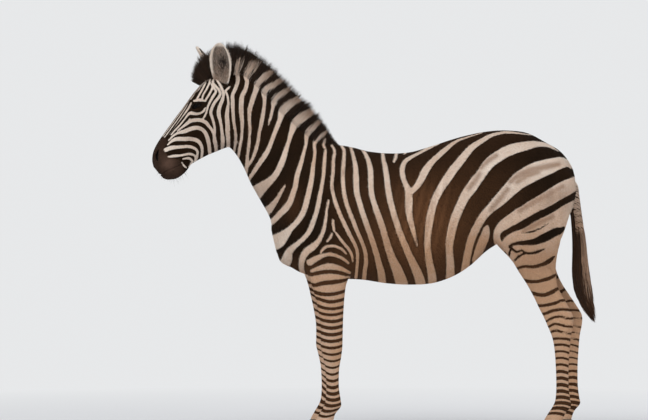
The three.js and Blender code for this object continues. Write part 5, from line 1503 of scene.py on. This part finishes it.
def ear_hair(side, seed):
    rng = np.random.default_rng(seed)
    count, steps = EAR_HAIRS + RIM_HAIRS, 4
    rim = np.arange(count) >= EAR_HAIRS
    share = np.where(rim, 0.1 + 0.86 * rng.random(count), 0.06 + 0.76 * rng.random(count))
    edge = rng.choice([-1, 1], count) * (0.9 + 0.08 * rng.random(count))
    u = np.where(rim, edge, rng.uniform(-0.9, 0.9, count))
    inner = ~rim | (rng.random(count) < 0.6)
    root = on_ear(side, share, u, inner, -0.08)
    _, axis, across, front, _ = ear_frame(side)
    out = np.where(rim, 0.45, 0.1 + 0.7 * np.abs(u)) * np.sign(u)
    lean = (np.multiply.outer(np.ones(count), axis) + np.multiply.outer(out, across)
            + np.multiply.outer(np.where(rim, 0.1, 0.28), front) + 0.18 * rng.normal(size=(count, 3)))
    lean /= np.linalg.norm(lean, axis=1, keepdims=True)
    length = np.where(rim, 0.55 + 0.45 * rng.random(count), (1.0 + 1.3 * rng.random(count)))
    length *= np.clip((1.02 - share) / 0.3, 0.35, 1)
    t = np.linspace(0, 1, steps)[None, :, None]
    paths = root[:, None] + lean[:, None] * length[:, None, None] * t
    paths += (np.multiply.outer(np.sign(u), across) * -0.25)[:, None] * (t * t) * ~rim[:, None, None]
    thick = 0.05 * np.array([1, 0.8, 0.5, 0.1])[None, :] * (0.8 + 0.4 * rng.random(count))[:, None]
    # Hairs rooted in the cup's painted shade are dark.
    depth = ear_marks(share, u, np.ones(count, bool))[2]
    mark = np.where(~rim & (rng.random(count) < depth), -2.0, 2.0)
    shade = np.where(rim, 0.0, 0.25 + 0.7 * rng.random(count))
    marks = [np.repeat(v[:, None], steps, axis=1) for v in (mark, np.where(mark > 0, shade, 0), mark * 0 - 3)]
    return hairs("ear_hair", paths, thick, marks, rng.random(count) * 0.3 * ~rim)


# Fine black hairs that taper over five points each.
def fine_hairs(name, paths, width, warm):
    thick = width * np.array([1, 0.9, 0.7, 0.4, 0.1])[None, :] * np.ones((len(paths), 1))
    flat = thick * 0
    return hairs(name, paths, thick, [flat - 2, flat, flat - 3], np.full(len(paths), warm))


def lash_hair(sign, seed):
    rng = np.random.default_rng(seed)
    slit, rise, gaze = (head_vector(v, sign) for v in (SLIT, LID_UP, GAZE))
    s = np.linspace(-1.1, 1.15, LASHES) + 0.02 * rng.normal(size=LASHES)
    r = LID_RISE * np.sqrt(1 - np.abs(s / SLIT_HALF) ** 1.7) + 0.06
    lid = EYE_RADIUS + LID_THICKNESS - 0.08
    out = np.sqrt(lid ** 2 - s ** 2 - r ** 2)
    root = eye_place(sign) + s[:, None] * slit + r[:, None] * rise + out[:, None] * gaze
    t = np.linspace(0, 1, 5)[None, :, None]
    length = (0.75 + 0.3 * rng.random(LASHES))[:, None, None]
    ahead = gaze - 0.25 * rise + s[:, None] * 0.3 * slit
    paths = root[:, None] + length * (t * ahead[:, None] + 0.35 * t * t * rise)
    return fine_hairs("lashes", paths, 0.03, 0.0)


def feeler_hair(seed):
    rng = np.random.default_rng(seed)
    along, up = head_axes(skin_points[:, 0], skin_points[:, 2])
    side = np.abs(skin_points[:, 1] - sway(skin_points[:, 0]))
    low_face = (skin_points[:, 0] < -60) & (up < 0.2) & (side > 0.4)
    lips = np.flatnonzero(low_face & (along > 23.5) & (along < 31))
    roots = rng.choice(lips, FEELERS, replace=False)
    normals = read_points(hide_mesh, "normal")[roots]
    t = np.linspace(0, 1, 5)[None, :, None]
    length = (0.9 + 1.1 * rng.random(FEELERS))[:, None, None]
    lean = normals + 0.25 * rng.normal(size=normals.shape) + head_vector((0.25, -0.3, 0), 1)
    paths = skin_points[roots][:, None] + length * (t * lean[:, None] - 0.15 * t * t * np.array([0, 0, 1.0]))
    return fine_hairs("feelers", paths, 0.022, 0.4)


soft_hair = hair_finish("pale_ear_hair", 0.0, 0.65)
for number, (side, sign) in enumerate((("left", -1), ("right", 1))):
    finished(ear_hair(side, 31 + number), f"ear_hair_{side}", soft_hair, "ear")
    finished(lash_hair(sign, 41 + number), f"lashes_{side}", tail_finish, "mane")
finished(feeler_hair(51), "feelers", tail_finish, "muzzle")


# ---------------------------------------------------------------- short coat
# Flat summer hair covers all of the hide but the bare skin of lids and nostrils, each tuft one
# thin pointed blade in the colour of its place. It runs back along the trunk, down the neck and
# legs, and down the face to the nose; it is longest on the trunk and smallest on face and feet.
TUFT_LENGTH, TUFT_WIDTH, TUFT_SPACING = 0.95, 0.155, 0.333        # on the trunk
TUFT_SINK, TUFT_RISE, TUFT_LIFT = 0.03, 0.05, 0.06
PATCH_SIZE = 0.0015              # half a tuft's patch on the baking map


# How large the tufts are at a place, against those of the trunk.
def tuft_size(points, part, muzzle):
    x, _, z = points.T
    along, _ = head_axes(x, z)
    size = np.interp(z, [5, 24, 50, 62], [0.42, 0.48, 0.75, 1.0])
    on_face = np.interp(along, [-6, 4, 20], [0.62, 0.5, 0.4]) * np.interp(muzzle, [-0.5, 0.8], [1.0, 0.6])
    size = np.where(part == ON_HEAD, on_face, size)
    size = np.where(part == ON_NECK, np.interp(z - x * 0.6, [95, 140, 158], [1.0, 0.9, 0.7]), size)
    return np.where(part == ON_EAR, 0.5, np.where(part == ON_DOCK, 0.6, size))


# The way the hair lies, before it is laid into the skin.
def lie_of_hair(points, part):
    x, _, z = points.T
    along, up = head_axes(x, z)
    over_leg = smooth_step(-z, -80, -58) * np.maximum(smooth_step(-x, -4, 6), smooth_step(x, 34, 42))
    lie = np.stack([0.93 - 0.83 * over_leg, x * 0, -0.3 - 0.7 * over_leg], axis=1)
    chest = (smooth_step(-x, 22, 30) * smooth_step(z, 58, 64))[:, None]
    lie = lie * (1 - chest) + np.array([0.35, 0, -0.93]) * chest
    onto_neck = np.where(part == ON_NECK, smooth_step(-x, 12, 22), 0)[:, None]
    lie = lie * (1 - onto_neck) + np.array([0.66, 0, -0.75]) * onto_neck
    nose = np.maximum(smooth_step(up, 0.5, 6.5), smooth_step(along, 17, 23))[:, None]
    face = nose * head_vector((1, 0, 0), 1) + (1 - nose) * np.array([0.42, 0, -0.9])
    lie = np.where((part == ON_HEAD)[:, None], face, lie)
    return np.where(((part >= ON_LEGS) & (part <= ON_DOCK))[:, None], np.array([0.1, 0, -1.0]), lie)


hide_mesh.calc_loop_triangles()
skin_triangles = read_all(hide_mesh.loop_triangles, "vertices", 3, int)
skin_normals = read_points(hide_mesh, "normal")
skin_area = np.linalg.norm(np.cross(
    skin_points[skin_triangles[:, 1]] - skin_points[skin_triangles[:, 0]],
    skin_points[skin_triangles[:, 2]] - skin_points[skin_triangles[:, 0]]), axis=1) / 2
skin_middle = skin_points[skin_triangles].mean(axis=1)
skin_part, skin_u, skin_v = wrap(skin_middle)
of_ear = skin_triangles[:, 0] >= ear_start
skin_share = np.zeros(len(skin_triangles))
skin_share[of_ear] = ear_share[skin_triangles[of_ear] - ear_start].mean(axis=1)
skin_part[of_ear] = ON_EAR
skin_size = tuft_size(skin_middle, skin_part, skin_marks[skin_triangles[:, 0], 2])
bald = ((skin_tints[skin_triangles, 2].max(axis=1) > 0.3) | (skin_tints[skin_triangles, 0].max(axis=1) > 0.4)
        | ((skin_middle[:, 2] < 4.9) & (skin_part >= ON_LEGS)))
skin_wanted = np.where(bald, 0, skin_area / (TUFT_SPACING * np.maximum(skin_size, 0.32) ** 0.78) ** 2)


# The faces the tufts stand on, one entry a tuft, and how near each stands to the three corners.
def tuft_roots(chosen, rng):
    faces = np.flatnonzero(chosen)
    faces = np.repeat(faces, (skin_wanted[faces] + rng.random(len(faces))).astype(int))
    a, b = rng.random((2, len(faces)))
    a, b = np.where(a + b > 1, 1 - a, a), np.where(a + b > 1, 1 - b, b)
    return faces, np.stack([1 - a - b, a, b], axis=1)[:, :, None]


# The way each tuft points along the skin, a little astray, and the way across it.
def tuft_ways(root, normal, part, rng):
    lie = lie_of_hair(root, part)
    for side in EARS:
        on_this = (part == ON_EAR) & ((root[:, 1] > 0) == (side == "right"))
        lie = np.where(on_this[:, None], ear_frame(side)[1], lie)
    across = np.cross(normal, lie)
    across /= np.maximum(np.linalg.norm(across, axis=1, keepdims=True), 1e-6)
    ahead = np.cross(across, normal)
    yaw = (0.13 * rng.normal(size=len(root)))[:, None]
    return ahead * np.cos(yaw) + across * np.sin(yaw), across * np.cos(yaw) - ahead * np.sin(yaw)


# A small patch of the baking map for each corner of each tuft, laid along and round its part.
def tuft_patches(faces, root, triangles):
    ears, part = of_ear[faces], skin_part[faces]
    u, v = np.where(ears, skin_share[faces], skin_u[faces]), skin_v[faces] / (2 * math.pi) + 0.5
    twin = np.isin(part, [ON_LEGS + 1, ON_LEGS + 3]) | (ears & (root[:, 1] > 0))
    low, high = u.min(), u.max()
    place = np.stack([0.01 + 0.98 * (u - low) / (high - low), 0.01 + 0.48 * v + 0.5 * twin], axis=1)
    patch = place[:, None] + PATCH_SIZE * np.array([[-1, -1], [1, -1], [0, 0], [0, 1]])[None]
    return patch.reshape(-1, 2)[triangles.ravel()]


def tufts(name, chosen, seed):
    rng = np.random.default_rng(seed)
    faces, weights = tuft_roots(chosen, rng)
    count, corners = len(faces), skin_triangles[faces]
    root = (skin_points[corners] * weights).sum(axis=1)
    normal = (skin_normals[corners] * weights).sum(axis=1)
    normal /= np.linalg.norm(normal, axis=1, keepdims=True)
    size, ears = skin_size[faces], of_ear[faces]
    ahead, across = tuft_ways(root, normal, skin_part[faces], rng)
    long = (TUFT_LENGTH * size * (0.75 + 0.5 * rng.random(count)))[:, None]
    wide = (TUFT_WIDTH * size ** 0.75 * (0.75 + 0.5 * rng.random(count)))[:, None]
    lift = (TUFT_LIFT * size * rng.uniform(0.3, 1.8, count))[:, None]
    points = np.stack([root - across * wide / 2 - normal * TUFT_SINK,
                       root + across * wide / 2 - normal * TUFT_SINK,
                       root + ahead * long * 0.35 + normal * (TUFT_RISE * size[:, None] + lift * 0.4),
                       root + ahead * long + normal * lift], axis=1)
    shape = np.array([[0, 3, 2], [1, 2, 3], [0, 2, 1], [0, 1, 3]])
    triangles = (shape[None] + 4 * np.arange(count)[:, None, None]).reshape(-1, 3)
    mesh = mesh_of(name, to_metres(points.reshape(-1, 3)), triangles)
    stray = 0.06 * size * rng.normal(size=count)
    marks = []
    for share in (0.25, 0.75):
        at = markings(root + ahead * long * share)
        at[ears] = skin_marks[corners[ears, 0]]
        at[:, 0] += stray
        marks += [at, at]
    hues = tints(root)
    hues[ears] = skin_tints[corners[ears, 0]]
    hues[:, 1] += 0.2 * rng.normal(size=count)
    keep_values(mesh, "marks", np.stack(marks, axis=1))
    keep_values(mesh, "tints", np.repeat(np.clip(hues, 0, 1), 4, axis=0))
    patches = np.ascontiguousarray(tuft_patches(faces, root, triangles), np.float32)
    mesh.uv_layers.new(name="OFBake").data.foreach_set("uv", patches.ravel())
    return mesh


along_trunk = np.where(skin_part == ON_TRUNK, skin_middle[:, 0], np.nan)
along_head = np.where(skin_part == ON_HEAD, skin_u, np.nan)
COAT_PIECES = {
    "coat_cheeks": along_head < 9, "coat_muzzle": along_head >= 21,
    "coat_nose": (along_head >= 9) & (along_head < 21), "coat_neck": skin_part == ON_NECK,
    "coat_shoulders": along_trunk < 4, "coat_barrel": (along_trunk >= 4) & (along_trunk < 26),
    "coat_loins": (along_trunk >= 26) & (along_trunk < 47), "coat_rump": along_trunk >= 47,
    "coat_dock": skin_part == ON_DOCK, "coat_ears": skin_part == ON_EAR,
}
COAT_PIECES.update({f"coat_{leg}": skin_part == number for number, leg in enumerate(LEGS, ON_LEGS)})
coat_look = coat_finish("short_coat", 0.03, 0.7, 0.06, 0.01)[0]
for number, (name, chosen) in enumerate(COAT_PIECES.items()):
    finished(tufts(name, chosen, 60 + number), name, coat_look, "coat")


# ---------------------------------------------------------------- stage, light and camera
# A plain pale floor that fades into an equally pale room, under a large soft lamp from the
# front left, a weaker one from the right and one behind. The camera looks level from far away.
ROOM, SKY = (0.8, 0.81, 0.82, 1), (0.95, 0.96, 1.0, 1)
FLOOR_HALF = 40


# The rays that see the room itself: the camera's, and those that come off or through a piece.
def seen_rays(tree):
    rays = put(tree, "LightPath", {}).outputs
    plain = maths(tree, "MAXIMUM", rays["Is Camera Ray"], rays["Is Glossy Ray"])
    return maths(tree, "MAXIMUM", plain, rays["Is Transmission Ray"])


floor_mesh = bpy.data.meshes.new("floor")
corners = [(x * FLOOR_HALF, y * FLOOR_HALF, 0) for x, y in ((-1, -1), (1, -1), (1, 1), (-1, 1))]
floor_mesh.from_pydata(corners, [], [(0, 1, 2, 3)])
floor = bpy.data.objects.new("floor", floor_mesh)
bpy.context.collection.objects.link(floor)
floor_paint, tree, shader = new_finish("floor_paint", 0.9, 0.1)
shader.inputs["Base Color"].default_value = ROOM
place = put(tree, "TexCoord", {}).outputs["Object"]
distance = put(tree, "VectorMath", {0: place}, operation="LENGTH").outputs["Value"]
far = maths(tree, "MULTIPLY", seen_rays(tree), ramp(tree, distance, 1.2, 4.5))
glow = put(tree, "Emission", {"Color": ROOM, "Strength": 1.0}).outputs[0]
both = put(tree, "MixShader", {0: far, 1: shader.outputs[0], 2: glow}).outputs[0]
tree.links.new(both, tree.nodes["Material Output"].inputs["Surface"])
floor_mesh.materials.append(floor_paint)

world = bpy.data.worlds.new("studio")
world.use_nodes = True
sky = world.node_tree
soft = sky.nodes["Background"]
soft.inputs["Color"].default_value = SKY
soft.inputs["Strength"].default_value = 0.55
room = put(sky, "Background", {"Color": ROOM, "Strength": 1.0}).outputs[0]
sky.links.new(put(sky, "MixShader", {0: seen_rays(sky), 1: soft.outputs[0], 2: room}).outputs[0],
              sky.nodes["World Output"].inputs["Surface"])
bpy.context.scene.world = world


def lamp(name, at, aim, size, watts):
    data = bpy.data.lights.new(name, "AREA")
    data.shape, data.size, data.energy = "DISK", size, watts
    held = bpy.data.objects.new(name, data)
    held.location = at
    held.rotation_euler = (Vector(aim) - Vector(at)).to_track_quat("-Z", "Y").to_euler()
    bpy.context.collection.objects.link(held)


lamp("key_lamp", (-2.6, -4.2, 5.0), (0, 0, 1), 2.6, 150)
lamp("fill_lamp", (4.5, -3.0, 2.6), (0.2, 0, 0.9), 3.0, 45)
lamp("rim_lamp", (1.5, 4.5, 4.5), (0, 0, 1.1), 2.5, 70)

VIEW_WIDTH, VIEW_DISTANCE = 2.925, 16.0
aim = Vector((-0.229, 0, 1.02))
camera = bpy.data.objects.new("camera", bpy.data.cameras.new("camera"))
camera.data.sensor_width = 36
camera.data.lens = 36 * VIEW_DISTANCE / VIEW_WIDTH
camera.data.clip_end = 200
camera.location = aim + Vector((0, -VIEW_DISTANCE, 0))
camera.rotation_euler = (aim - camera.location).to_track_quat("-Z", "Y").to_euler()
bpy.context.collection.objects.link(camera)
bpy.context.scene.camera = camera
bpy.context.scene.view_settings.view_transform = "Standard"
